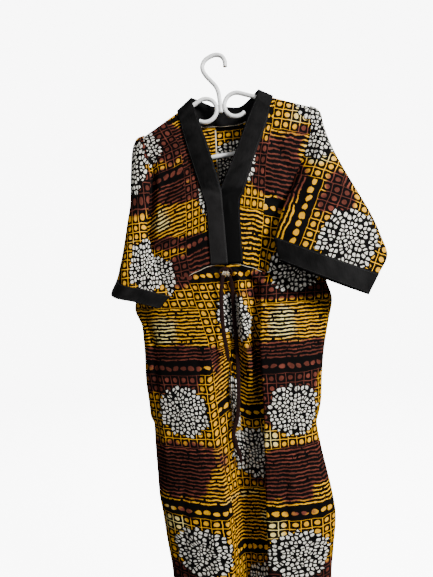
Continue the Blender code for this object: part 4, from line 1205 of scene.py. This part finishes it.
def lifted_line(points: Array, row: int, lift: float, towards: Optional[Array] = None) -> Array:
    """A row of a cloth grid, lifted off its outer side.

    Args:
        points: the grid.
        row: which row.
        lift: how far off the cloth's middle it lies.
        towards: which way the outer side faces; away from the row's middle if not given.

    Returns:
        The line's points.
    """
    line = points[row]
    normal = np.cross(line - points[row - 1], np.gradient(line, axis=0))
    normal /= np.linalg.norm(normal, axis=1)[:, None] + 1e-12
    facing = line - line.mean(axis=0) if towards is None else towards
    return line + np.sign(np.sum(normal * facing)) * normal * lift


@dataclass(frozen=True)
class Stitching:
    """Rows of short machine stitches."""

    thread: bpy.types.Material
    pitch: float = 0.0034
    share: float = 0.68
    radius: float = 0.00030
    sides: int = 5

    def rows(self, name: str, lines: Sequence[Array], slot: str) -> bpy.types.Object:
        """Make rows of stitches along lines on the surface of the cloth."""
        shape = bmesh.new()
        for line in lines:
            run = lengths(line)
            for k in range(int(run[-1] / self.pitch)):
                places = np.array((k, k + self.share)) * self.pitch
                start, end = np.stack([np.interp(places, run, line[:, n]) for n in range(3)], axis=-1)
                way = Vector(end - start)
                made = bmesh.ops.create_cone(shape, cap_ends=True, segments=self.sides,
                                             radius1=self.radius, radius2=self.radius, depth=way.length)
                turn = way.to_track_quat("Z", "Y").to_matrix().to_4x4()
                middle = Matrix.Translation(Vector((start + end) / 2))
                bmesh.ops.transform(shape, matrix=middle @ turn, verts=made["verts"])
        return add_piece(as_mesh(name, shape), self.thread)

    def hem(self, name: str, points: Array, facing: float) -> bpy.types.Object:
        """Stitch the hem of a cloth grid, on its side that faces along Y."""
        row = int(np.argmin(np.abs(points[:, 0, 2] - FORM.hem_z - HEM_DEEP)))
        line = lifted_line(points, row, COTTON_THICK * OVER_CLOTH, np.array((0.0, facing, 0.0)))
        return self.rows(name, [line], COTTON)


# ---------------------------------------------------------------- pieces
@dataclass(frozen=True)
class BodicePrint:
    """Where the print lies on a half of the bodice: its lean, and its places down and across.

    The left half has the print turned half round.  Past the x of edges, towards the neck, the
    gathers hide cloth.
    """

    drop: float
    lean: float
    middle_x: float
    start_u: float
    gather: float
    heights: tuple
    downs: tuple
    edges: tuple


BODICE_PRINTS = {
    Side.LEFT: BodicePrint(0.135, -0.30, -0.115, 0.0, 1.33, (-1.427, 0.513), (-0.910, 1.090),
                           (-0.068, -0.075, -0.082, -0.076, -0.078, -0.085, -0.112, -0.128)),
    Side.RIGHT: BodicePrint(0.1425, 0.27, 0.105, 2 * WaxPrint.column, 1.42,
                            (-0.505, -0.446, -0.341, -0.172, -0.052), (0.150, 0.090, 0.0, -0.135, -0.235),
                            (0.055, 0.062, 0.072, 0.086, 0.093, 0.104, 0.115, 0.124)),
}


@dataclass(frozen=True)
class PrintLayout:
    """Where the print lies on each cut piece, in metres."""

    left_disc_u: float = WaxPrint.disc_u
    right_disc_u: float = WaxPrint.disc_u + 2 * WaxPrint.column
    skirt_drop: float = -0.200
    back_drop: float = 0.100
    lean_low: float = -0.52
    lean_fade: float = 0.14
    gather: float = 1.32
    gather_half: float = 0.095
    gather_soft: float = 0.03
    gather_middle_x: float = -0.004
    gather_from: float = -0.62
    gather_fade: float = 0.15
    low_wide: float = 0.82
    low_reach: float = 0.070
    low_top: float = -0.86
    low_fade: float = 0.10
    strip_top: float = -0.590
    strip_end: float = -0.800
    strip_fade: float = 0.02
    strip_shift: float = 0.005
    wall_climb: float = 0.55
    climb_run: float = 0.06
    climb_start_fade: float = 0.05
    climb_end: float = -0.93
    climb_end_fade: float = 0.20
    skirt_heights: tuple = (-1.46, -1.033, -0.95, -0.747, -0.655, -0.582, -0.512, -0.457, -0.40)
    skirt_downs: tuple = (1.138, 0.690, 0.600, 0.390, 0.300, 0.222, 0.146, 0.090, 0.030)
    line_heights: tuple = (-1.46, -1.033, -0.747, -0.60, -0.51, -0.4445)
    left_line_x: tuple = (-0.060, -0.082, -0.107, -0.127, -0.150, -0.166)
    right_line_x: tuple = (0.105, 0.113, 0.118, 0.125, 0.135, 0.142)
    edge_heights: tuple = (-0.51, -0.46, -0.415, -0.311, -0.25, -0.20, -0.15, -0.11)

    def across_skirt(self, line: Array, side_columns: int) -> tuple[Array, Array]:
        """Distance along a skirt row, with its hidden gathers, and the chart across it."""
        x, height = line[:, 0], line[0, 2]
        steps = np.linalg.norm(np.diff(line, axis=0), axis=1)
        off_middle = np.abs((x[1:] + x[:-1]) / 2 - self.gather_middle_x)
        inside = (ease((self.gather_half - off_middle) / self.gather_soft)
                  * ease((height - self.gather_from) / self.gather_fade))
        run = np.concatenate(([0.0], np.cumsum(steps * mix(1.0, self.gather, inside))))
        left_x = np.interp(height, self.line_heights, self.left_line_x)
        right_x = np.interp(height, self.line_heights, self.right_line_x)
        left_run = np.interp(left_x, x[:side_columns], run[:side_columns])
        right_run = np.interp(right_x, x[-side_columns:], run[-side_columns:])
        left_u, right_u = self.left_disc_u, self.right_disc_u
        runs = (left_run - 1, left_run, right_run, right_run + 1)
        across = np.interp(run, runs, (left_u - 1, left_u, right_u, right_u + 1))
        reach, wide = self.low_reach, self.low_wide
        runs = (left_run - 1, left_run + reach, right_run - reach, right_run + 1)
        wides = (left_u - wide, left_u + reach * wide, right_u - reach * wide, right_u + wide)
        low = ease((self.low_top - height) / self.low_fade)
        return run, mix(across, np.interp(run, runs, wides), low)

    def skirt(self, points: Array, side_columns: int, fold_steps: int) -> Array:
        """The chart of the front's skirt rows.

        A gathered fold hides cloth, so the ridge in the middle shows a disc of the next column,
        and the stripes climb the sloping wall to its left.

        Args:
            points: places by row and column, from side seam to side seam.
            side_columns: how many columns lie between a side seam and the first ridge.
            fold_steps: how many columns lie between a ridge and the next valley.

        Returns:
            The chart by row and column.
        """
        chart = blank_chart(points, self.skirt_drop)
        ridge, valley = side_columns - 1, side_columns - 1 + fold_steps
        middle = valley + fold_steps
        near = slice(valley + 1, middle + fold_steps)
        for row, line in enumerate(points):
            height = line[0, 2]
            run, across = self.across_skirt(line, side_columns)
            below_top = self.strip_top - height
            strip = ease(below_top / self.strip_fade) * ease((height - self.strip_end) / self.strip_fade)
            shown = self.right_disc_u + self.strip_shift + (run[near] - run[middle])
            across[near] = mix(across[near], shown, strip)
            climb = (self.wall_climb * np.clip(run - run[ridge], 0.0, run[valley] - run[ridge])
                     * (1 - ease((run - run[valley]) / self.climb_run))
                     * ease(below_top / self.climb_start_fade)
                     * ease((height - self.climb_end) / self.climb_end_fade))
            chart[row, :, 0] = across
            chart[row, :, 1] = np.interp(line[:, 2], self.skirt_heights, self.skirt_downs) + climb
        return chart

    def bodice(self, side: Side, points: Array) -> Array:
        """The chart of one half of the bodice, whose columns run to the right."""
        layout = BODICE_PRINTS[side]
        chart = blank_chart(points, layout.drop)
        for row, line in enumerate(points):
            x, z = line[:, 0], line[:, 2]
            run = lengths(line)
            edge = np.interp(np.mean(z), self.edge_heights, layout.edges)
            past = side.value * (run - np.interp(edge, x, run))
            fade = ease((z - self.lean_low) / self.lean_fade)
            level = z + layout.lean * fade * (x - layout.middle_x)
            chart[row, :, 0] = layout.start_u + past * np.where(past < 0, layout.gather, 1.0)
            chart[row, :, 1] = np.interp(level, layout.heights, layout.downs)
        return chart


LAYOUT = PrintLayout()


@dataclass
class FrontPanel:
    """The front: two bodice halves and the gathered skirt, sewn at the centre seam."""

    cloth: bpy.types.Material
    selvedge: bpy.types.Material
    stitching: Stitching
    side_columns: int = 46
    side_crowding: float = 1.35
    fold_steps: int = 9
    roll_rows: int = 5
    bodice_rows: int = 88
    skirt_rows: int = 176
    crowding: float = 1.35
    blend_rows: int = 22
    blend_x: float = 0.068
    blend_wide: float = 0.03
    selvedge_half: float = 0.0785
    selvedge_radius: float = 0.0011
    selvedge_wave: float = 0.0007
    crease_scale: float = 2.1

    def build(self) -> bpy.types.Object:
        """Make the panel and dress it."""
        n = self.side_columns
        u = np.linspace(0.0, 1.0, n) ** self.side_crowding
        folds = np.linspace(0.0, 1.0, (len(FOLD_NAMES) - 1) * self.fold_steps + 1)[1:-1]
        gap = np.full((len(folds), 3), np.nan)
        halves = []
        for k in range(self.roll_rows):
            around = mix(0.10, 0.5, k / (self.roll_rows - 1)) * pi
            halves.append([FORM.front_roll(side, around, u) for side in Side])
        for k in range(1, self.bodice_rows):
            halves.append([FORM.front_bodice(side, k / self.bodice_rows, u) for side in Side])
        rows = [np.vstack((left, gap, right[::-1])) for left, right in halves]
        seam_row = len(rows)
        for z in FORM.skirt_heights(self.skirt_rows, self.crowding):
            left, right = [FORM.hang(FORM.skirt_row(z, side, u, True), z) for side in Side]
            rows.append(np.vstack((left, FORM.front_folds(z, folds), right[::-1])))
        points = np.array(rows)
        inside = np.minimum(u / EDGE_HOLD, 1.0)
        held = np.concatenate((inside, np.ones(len(folds)), inside[::-1]))
        lift = crease_field(points, FRONT_CREASES) * self.crease_scale
        points[..., 1] -= lift * held[None, :] * self.seam_hold(points)

        upper = np.zeros(points.shape[:2] + (4,))
        upper[:, :n] = LAYOUT.bodice(Side.LEFT, points[:, :n])
        upper[:, -n:] = LAYOUT.bodice(Side.RIGHT, points[:, -n:])
        lower = np.zeros_like(upper)
        lower[seam_row:] = LAYOUT.skirt(points[seam_row:], n, self.fold_steps)
        lower[:seam_row] = lower[seam_row]
        for row in range(seam_row - self.blend_rows, seam_row + 1):
            share = ease((row - seam_row + self.blend_rows) / self.blend_rows)
            beyond = ease((points[row, :, 0] - self.blend_x) / self.blend_wide)
            off = np.nan_to_num(beyond * share)[:, None]
            level = lower[seam_row].copy()
            level[:, 1] -= points[row, :, 2] - points[seam_row, :, 2]
            upper[row] = np.where(off > 0, mix(upper[row], level, off), upper[row])
        mesh = cloth_mesh("front_cloth", points, upper, lower, seam_row)
        made = add_cloth(mesh, self.cloth, ("bodice_left", "bodice_right", "skirt_front"))
        edge = add_piece(self.selvedge_mesh(points[seam_row]), self.selvedge)
        hem = self.stitching.hem("hem_stitches_front", points, -1.0)
        return made

    def selvedge_mesh(self, row: Array) -> bpy.types.Mesh:
        """The white selvedge that shows as a line along the centre seam."""
        inside = np.abs(row[:, 0] - FORM.seam_middle_x) < self.selvedge_half
        line = row[inside] + np.array((0.0, -COTTON_THICK * 0.9, 0.0006))
        line[:, 2] += self.selvedge_wave * np.sin(lengths(line) * 190.0)
        return tube_mesh("waist_selvedge", line, self.selvedge_radius, 8, 0.55)

    @staticmethod
    def seam_hold(points: Array) -> Array:
        """Creases die out where the centre seam holds the cloth."""
        away = np.hypot((points[..., 0] + 0.004) / 0.09, (points[..., 2] + 0.452) / 0.012)
        return np.nan_to_num(ease((away - 0.6) / 0.7), nan=1.0)


@dataclass
class BackHalf:
    """One half of the back, sewn to the other along the centre."""

    side: Side
    cloth: bpy.types.Material
    selvedge: bpy.types.Material
    stitching: Stitching
    columns: int = 58
    side_crowding: float = 1.25
    roll_rows: int = 5
    body_rows: int = 70
    skirt_rows: int = 120
    crowding: float = 1.2
    left_seam_u: float = 0.316
    right_seam_u: float = 0.056
    left_top_v: float = 0.275
    right_top_v: float = 0.0145
    chart_top_z: float = -0.150
    chart_stretch: float = 1.03
    selvedge_radius: float = 0.0014

    def chart(self, points: Array) -> Array:
        """The half's print, whose columns start at the centre seam."""
        places = points * np.array((-1.0, 1.0, 1.0)) + np.array((0.01, 0.0, 0.02))
        chart = blank_chart(places, LAYOUT.back_drop)
        left = self.side is Side.LEFT
        for row, line in enumerate(points):
            run = lengths(line[::-1])[::-1]
            chart[row, :, 0] = self.left_seam_u - run if left else self.right_seam_u + run
            start = self.left_top_v if left else self.right_top_v
            chart[row, :, 1] = start + (self.chart_top_z - line[:, 2]) * self.chart_stretch
        return chart

    def build(self) -> bpy.types.Object:
        """Make the half and dress it."""
        u = np.linspace(0.0, 1.0, self.columns) ** self.side_crowding
        rows = []
        for k in range(self.roll_rows):
            share = k / (self.roll_rows - 1)
            rows.append(FORM.back_top(self.side, u, 2 * share, mix(0.10, 0.5, share) * pi))
        for k in range(1, self.body_rows):
            rows.append(FORM.back_body(self.side, k / self.body_rows, u))
        for z in FORM.skirt_heights(self.skirt_rows, self.crowding):
            rows.append(FORM.hang(FORM.skirt_row(z, self.side, u, False), z))
        points = np.array(rows)
        points[:, -1, 0] = FORM.back_seam_x
        held = np.minimum(u / EDGE_HOLD, 1.0) * np.minimum((1 - u) / EDGE_HOLD, 1.0)
        top = ease(np.arange(len(rows)) / 12.0 - 0.5)[:, None]
        points[..., 1] += crease_field(points, BACK_CREASES) * held * top

        word = self.side.word
        made = add_cloth(cloth_mesh("back_cloth_" + word, points, self.chart(points)), self.cloth,
                         ("back_bodice_" + word, "back_skirt_" + word))
        details = [self.stitching.hem("hem_stitches_back_" + word, points, 1.0)]
        if self.side is Side.LEFT:
            seam = points[self.roll_rows:, -1] - np.array((0.0, COTTON_THICK * 0.9, 0.0))
            mesh = tube_mesh("back_selvedge", seam, self.selvedge_radius, 8, 0.45)
            details.append(add_piece(mesh, self.selvedge))
        return made


@dataclass(frozen=True)
class SleevePrint:
    """Where the print lies on a sleeve: a disc's place, and which way the print runs down."""

    disc_x: float
    disc_z: float
    turn: float
    scale: float
    down_scale: float
    drop: float
    seen: tuple = (-1.0, 1.0)
    flat: tuple = (-1.0, 1.0)


SLEEVE_PRINTS = {
    Side.LEFT: SleevePrint(-0.156, -0.437, radians(-4.0), 1.0, 1.30, 0.262,
                           (-1.0, 0.096, 0.150, 0.350), (-1.0, 0.096, 0.124, 0.284)),
    Side.RIGHT: SleevePrint(0.238, -0.418, radians(23.4), 0.93, 0.93, 0.182),
}


@dataclass
class Sleeve:
    """A wide half sleeve with its black cuff."""

    side: Side
    cloth: bpy.types.Material
    black: bpy.types.Material
    stitching: Stitching
    columns: int = 120
    rows: int = 90
    cuff_rows: int = 14
    cuff_start: float = -0.05
    front_from: float = 0.01
    front_fade: float = 0.02
    fade_rows: tuple = (10.0, 6.0)
    stitch_rows: tuple = (1, -2)

    def build(self) -> bpy.types.Object:
        """Make the sleeve and the cuff, and dress them."""
        u = np.linspace(0.0, 1.0, self.columns + 1)
        points = np.array([FORM.sleeve_row(self.side, k / self.rows, u) for k in range(self.rows + 1)])
        front = ease((-points[..., 1] - self.front_from) / self.front_fade)
        down = np.arange(self.rows + 1)
        ends = (ease(down / self.fade_rows[0]) * ease((self.rows - down) / self.fade_rows[1]))[:, None]
        seam = np.minimum(1.0, 12 * np.minimum(u, 1 - u))[None, :]
        points[..., 1] -= crease_field(points, SLEEVE_CREASES) * front * (ends * seam)
        word = self.side.word
        made = add_cloth(cloth_mesh("sleeve_cloth_" + word, points, self.chart(points)), self.cloth,
                         ("sleeve_" + word,))
        self.build_cuff(u)
        return made

    def chart(self, points: Array) -> Array:
        """The sleeve's print, whose columns cross the arm.

        The front is charted as it is seen, and the back as if it were unfolded outwards.
        """
        layout = SLEEVE_PRINTS[self.side]
        chart = blank_chart(points, layout.drop)
        for row, line in enumerate(points):
            outer = int(np.argmax(self.side.value * line[:, 0]))
            run = lengths(line)
            x = line[:, 0].copy()
            x[outer:] = x[outer] + self.side.value * (run[outer:] - run[outer])
            right, up = x - layout.disc_x, line[:, 2] - layout.disc_z
            down_way = right * cos(layout.turn) - up * sin(layout.turn)
            across_way = right * sin(layout.turn) + up * cos(layout.turn)
            stretched = np.interp(across_way, layout.seen, layout.flat)
            chart[row, :, 0] = WaxPrint.disc_u - layout.scale * stretched
            chart[row, :, 1] = WaxPrint.disc_v + layout.down_scale * down_way
        return chart

    def build_cuff(self, u: Array) -> None:
        """Make the cuff."""
        word = self.side.word
        shares = np.linspace(self.cuff_start, 1.0, self.cuff_rows + 1)
        points = np.array([FORM.cuff_row(self.side, share, u) for share in shares])
        made = add_cloth(cloth_mesh("cuff_cloth_" + word, points, plain_chart(points)), self.black,
                         ("cuff_" + word,), True)
        lines = [lifted_line(points, row % len(points), BLACK_THICK * OVER_CLOTH)
                 for row in self.stitch_rows]
        rows = self.stitching.rows("cuff_stitches_" + word, lines, BLACK)


@dataclass
class NeckBand:
    """A folded black band that runs from the centre back down to the centre seam."""

    side: Side
    black: bpy.types.Material
    selvedge: bpy.types.Material
    stitching: Stitching
    columns: int = 14
    steps: int = 11
    crown: float = 0.0012
    over: float = 0.0025
    lap: float = 0.0020
    back_lap: float = 0.0050
    tuck: float = 0.0030
    flat_from: float = 0.15
    turn_at: float = 0.3
    front_from: float = 0.40
    front_fade: float = 0.06
    stitch_from: float = 0.42
    seam_y: float = 0.012
    seam_z: float = -0.116
    seam_radius: float = 0.0006

    def grid(self) -> Array:
        """The band's places by row and column."""
        frees, sewns = FORM.band_edges(self.side, self.over)
        behind = len(BAND_BACK_ROWS[self.side]) - 1
        outward = sewns - frees
        outward /= np.linalg.norm(outward, axis=1)[:, None]
        laps = np.where(np.arange(len(sewns)) < behind, self.back_lap, self.lap)
        sewns += outward * laps[:, None]
        sewns[:behind, 1] -= BLACK_THICK
        frees[-1, 2] -= self.tuck
        sewns[-1, 2] -= self.tuck
        count = self.steps * (len(frees) - 1)
        u = np.linspace(0.0, 1.0, self.columns + 1)
        rows = []
        for k in range(count + 1):
            t = k / count
            line = mix(along(frees, t)[None, :], along(sewns, t)[None, :], u[:, None])
            if not self.flat_from < t < self.front_from:
                line[:, 1] += self.crown * np.sin(pi * u) * (-1 if t > self.turn_at else 1)
            rows.append(line)
        points = np.array(rows)
        front = ease((np.arange(count + 1) / count - self.front_from) / self.front_fade)[:, None]
        lift = np.maximum(crease_field(points, FRONT_CREASES), 0.0) * FrontPanel.crease_scale
        tack = crease_field(points, BAND_CREASES)
        points[..., 1] -= (lift * FrontPanel.seam_hold(points) + tack) * front
        return points

    def build(self) -> bpy.types.Object:
        """Make the band and dress it."""
        word = self.side.word
        points = self.grid()
        made = add_cloth(cloth_mesh("band_cloth_" + word, points, plain_chart(points)), self.black,
                         ("neck_band_" + word,), True)
        first = int(self.stitch_from * (len(points) - 1))
        off = np.array((0.0, BLACK_THICK, 0.0))
        lines = [points[first:, n] - off * OVER_CLOTH for n in (1, -2)]
        rows = self.stitching.rows("band_stitches_" + word, lines, BLACK)
        inner = points[:, -1] - off * 0.6
        inner = inner[(inner[:, 1] > self.seam_y) & (inner[:, 2] < self.seam_z)]
        seam = add_piece(tube_mesh("neck_seam_" + word, inner, self.seam_radius, 6), self.selvedge)
        return made


@dataclass
class CentreTie:
    """The drawstring: two flat strings that hang from a knot at the centre seam."""

    dye: bpy.types.Material
    thread: bpy.types.Material
    width: float = 0.0085
    steps: int = 10
    threads: int = 11
    settle: float = 5.0
    end_run: float = 0.020
    end_wide: float = 0.55
    string_flat: float = 0.26
    knot_size: tuple = (0.0170, 0.0100, 0.0130)
    knot_wrap: float = 0.07
    loop_out: float = 0.0062
    loop_high: float = 0.0052
    loop_sag: float = 0.0020
    loop_radius: float = 0.0021
    thread_spread: float = 0.0085
    thread_drop: float = 0.0105
    thread_radius: float = 0.00042

    def string(self, name: str, node: str, places: Sequence[Row]) -> bpy.types.Object:
        count = self.steps * (len(places) - 1)
        path = along(metres(places), np.linspace(0.0, 1.0, count + 1))
        run = lengths(path)
        wide = mix(self.end_wide, 1.0, ease((run[-1] - run) / self.end_run))
        mesh = tube_mesh(name, path, self.width / 2 * wide, 12, self.string_flat)
        made = add_piece(mesh, self.dye, (node,))
        return made

    def build(self) -> None:
        """Make both strings and the knot."""
        self.string("tie_string_long", "tie_long", TIE_LONG)
        last = len(TIE_DEEP) - 1
        settled = [(x, y + self.settle * sin(pi * k / last) ** 0.5, z)
                   for k, (x, y, z) in enumerate(TIE_DEEP)]
        self.string("tie_string_deep", "tie_deep", settled)
        knot = bmesh.new()
        bmesh.ops.create_uvsphere(knot, u_segments=32, v_segments=20, radius=0.5)
        for vert in knot.verts:
            turn = np.arctan2(vert.co.z, vert.co.x)
            vert.co *= 1 + self.knot_wrap * sin(5 * turn + 9 * vert.co.y)
        bmesh.ops.scale(knot, vec=self.knot_size, verts=knot.verts)
        bmesh.ops.translate(knot, vec=Vector(KNOT) * MM, verts=knot.verts)
        meshes = [finish_mesh("tie_knot_body", knot)] + [self.loop(lean) for lean in (-1, 1)]
        add_piece(joined("tie_knot_cloth", meshes), self.dye, ("tie_knot",))
        threads = [self.loose_thread(k) for k in range(self.threads)]
        add_piece(joined("tie_fringe", threads), self.thread)

    def loop(self, lean: int) -> bpy.types.Mesh:
        """One small loop of the bow-like knot."""
        turn = np.linspace(0.0, 2 * pi, 25)
        out = 1 - np.cos(turn)
        path = metres(KNOT) + np.stack((
            lean * self.loop_out * out, -0.0015 * np.sin(turn / 2) - 0.001,
            -self.loop_high * np.sin(turn) - self.loop_sag * out), axis=-1)
        return tube_mesh("loop", path, self.loop_radius, 10, 0.7)

    def loose_thread(self, k: int) -> bpy.types.Mesh:
        """One thread of the frayed pale ends below the knot."""
        share = (k + 0.5) / self.threads * 2 - 1
        drop = self.thread_drop + 0.0035 * cos(2.4 * k)
        t = np.linspace(0.0, 1.0, 7)[:, None]
        spread = self.thread_spread * share + 0.001 * sin(5.0 * k)
        end = np.array((spread, -0.0035 - 0.0012 * cos(3.1 * k), -drop))
        bow = np.array((0.0025 * share, -0.0035, 0.0)) * np.sin(pi * t)
        return tube_mesh("thread", metres(KNOT) + end * t + bow, self.thread_radius, 5)


@dataclass
class Hanger:
    """The white plastic hanger: scrolls, arms and bar in one tube, and the hook."""

    plastic: bpy.types.Material
    sides: int = 24
    scroll_steps: int = 40
    tip_steps: int = 16
    hook_steps: int = 120

    def build(self) -> bpy.types.Object:
        """Make the hanger and dress it."""
        form = FORM.hanger
        centre_x, centre_z, radius = form.tip_circle()
        half = []
        for k in range(self.scroll_steps + 1):
            turn = mix(form.scroll_end, 2 * pi + form.arm_slope, k / self.scroll_steps)
            half.append((form.scroll_x + form.scroll_radius * sin(turn),
                         form.scroll_z + form.scroll_radius * cos(turn)))
        for k in range(self.tip_steps + 1):
            turn = mix(form.arm_slope, pi, k / self.tip_steps)
            half.append((centre_x + radius * sin(turn), centre_z + radius * cos(turn)))
        x, z = np.array(half).T
        left, right = [form.tilted(form.axis_x + way * x, z, 0.0) for way in (-1, 1)]
        hook_x, hook_z = along(metres(HOOK_LINE), np.linspace(0, 1, self.hook_steps)).T
        lines = (np.vstack((left, right[::-1])), form.tilted(hook_x, hook_z, 0.0))
        tubes = [tube_mesh("hanger_tube", line, form.tube_radius, self.sides) for line in lines]
        return add_piece(joined("hanger_plastic", tubes), self.plastic, ("hanger",))


@dataclass(frozen=True)
class Studio:
    """The floor, the backdrop, the lights and the camera."""

    floor_z: float = -1.62
    floor_radius: float = 4.6
    bend_radius: float = 1.2
    paper_run: float = 14.0
    paper_glow: float = 8.0
    azimuth: float = radians(9.0)
    roll: float = radians(3.5)
    distance: float = 0.93
    target: tuple = (-0.03, 0.0, -0.494)
    lens: float = 27.0
    sensor: float = 36.0
    room_light: float = 0.17

    def camera(self) -> None:
        """Stand the camera where it looks at the front."""
        back = Vector((sin(self.azimuth), -cos(self.azimuth), 0.0))
        level = Vector((cos(self.azimuth), sin(self.azimuth), 0.0))
        up = back.cross(level)
        right = level * cos(self.roll) - up * sin(self.roll)
        above = level * sin(self.roll) + up * cos(self.roll)
        data = bpy.data.cameras.new("front_camera")
        data.lens = self.lens
        data.sensor_width = self.sensor
        made = placed("front_camera", data)
        turn = Matrix((right, above, back)).transposed().to_4x4()
        made.matrix_world = Matrix.Translation(Vector(self.target) + back * self.distance) @ turn
        bpy.context.scene.camera = made

    def floor(self) -> None:
        """Lay a pale round floor that curves up into a wall all round."""
        w = Weaver("backdrop_paper", 0.95, 0.1)
        w.set(w.shader, {"Base Color": paint(252, 252, 252), "Emission Color": (1.0, 1.0, 1.0, 1.0),
                         "Emission Strength": self.paper_glow})
        shape = bmesh.new()
        bmesh.ops.create_grid(shape, x_segments=48, y_segments=40, size=1.0)
        for vert in shape.verts:
            turn = vert.co.x * pi
            run = (vert.co.y + 1) / 2 * self.paper_run
            bend = limit((run - self.floor_radius) / self.bend_radius / (pi / 2)) * pi / 2
            away = min(run, self.floor_radius) + self.bend_radius * sin(bend)
            wall = max(0.0, run - self.floor_radius - self.bend_radius * pi / 2)
            up = self.bend_radius * (1 - cos(bend)) + wall
            vert.co = (away * cos(turn), away * sin(turn), self.floor_z + up)
        made = placed("backdrop", finish_mesh("backdrop", shape))
        made.data.materials.append(w.material)
        made.data.shade_smooth()
        made.visible_diffuse = False
        made.visible_glossy = False

    def lamp(self, name: str, place: Row, size: float, power: float, aim_z: float) -> None:
        """Hang one soft square light that looks at the hanger's axis at a height."""
        data = bpy.data.lights.new(name, "AREA")
        data.size = size
        data.energy = power
        way = Vector(place) - Vector((0.0, 0.0, aim_z))
        turn = way.to_track_quat("Z", "Y").to_matrix().to_4x4()
        placed(name, data).matrix_world = Matrix.Translation(place) @ turn

    def build(self) -> None:
        """Set up the whole studio."""
        self.camera()
        self.floor()
        self.lamp("key_light", (2.3, -1.9, 0.9), 0.7, 268.0, -0.6)
        self.lamp("fill_light", (-0.4, -2.6, 0.1), 1.2, 11.0, -0.7)
        self.lamp("back_light", (-0.6, 2.2, 1.0), 1.6, 110.0, -0.7)
        world = bpy.data.worlds.new("pale_room")
        world.use_nodes = True
        background = world.node_tree.nodes["Background"]
        background.inputs["Color"].default_value = (1.0, 1.0, 1.0, 1.0)
        background.inputs["Strength"].default_value = self.room_light
        bpy.context.scene.world = world


def main() -> None:
    """Build every piece in order and dress it."""
    logging.basicConfig(level=logging.INFO, format="%(message)s")
    Studio().build()
    # the tie is dark brown, drawn darker still as painted shade so the strings read as shade in the fold
    string = PlainFinish(paint(38, 17, 12), paint(17, 8, 7), 0.9, 900.0, specular=0.1)
    thread = PlainFinish(paint(214, 206, 186), paint(176, 160, 132), 0.8, 1500.0).material("pale_thread")
    CentreTie(string.material("tie_cloth_darkened_as_shade"), thread).build()
    plastic = PlainFinish(paint(240, 240, 238), paint(228, 228, 226), 0.32, 60.0, 0.00002, 0.5)
    Hanger(plastic.material("moulded_plastic")).build()
    print_cloth = WaxPrint().material("wax_print_cotton")
    sateen = BlackSateen()
    black = sateen.material("black_sateen")
    # lit and shaded copies of the sateen: painted light lightens the left band below the V, and painted
    # shade darkens the right one
    bands = {Side.LEFT: sateen.material("black_sateen_painted_light_left", -0.02, 0.62),
             Side.RIGHT: sateen.material("black_sateen_painted_shade_right", 0.04, -0.40)}
    black_thread = PlainFinish(paint(46, 45, 45), paint(26, 25, 25), 0.6, 1500.0)
    brown_thread = PlainFinish(paint(96, 66, 30), paint(60, 38, 20), 0.8, 1500.0)
    black_rows = Stitching(black_thread.material("black_thread"))
    brown_rows = Stitching(brown_thread.material("brown_thread"))
    FrontPanel(print_cloth, thread, brown_rows).build()
    for side in Side:
        BackHalf(side, print_cloth, thread, brown_rows).build()
        Sleeve(side, print_cloth, black, black_rows).build()
        NeckBand(side, bands[side], thread, black_rows).build()


if __name__ == "__main__":
    main()
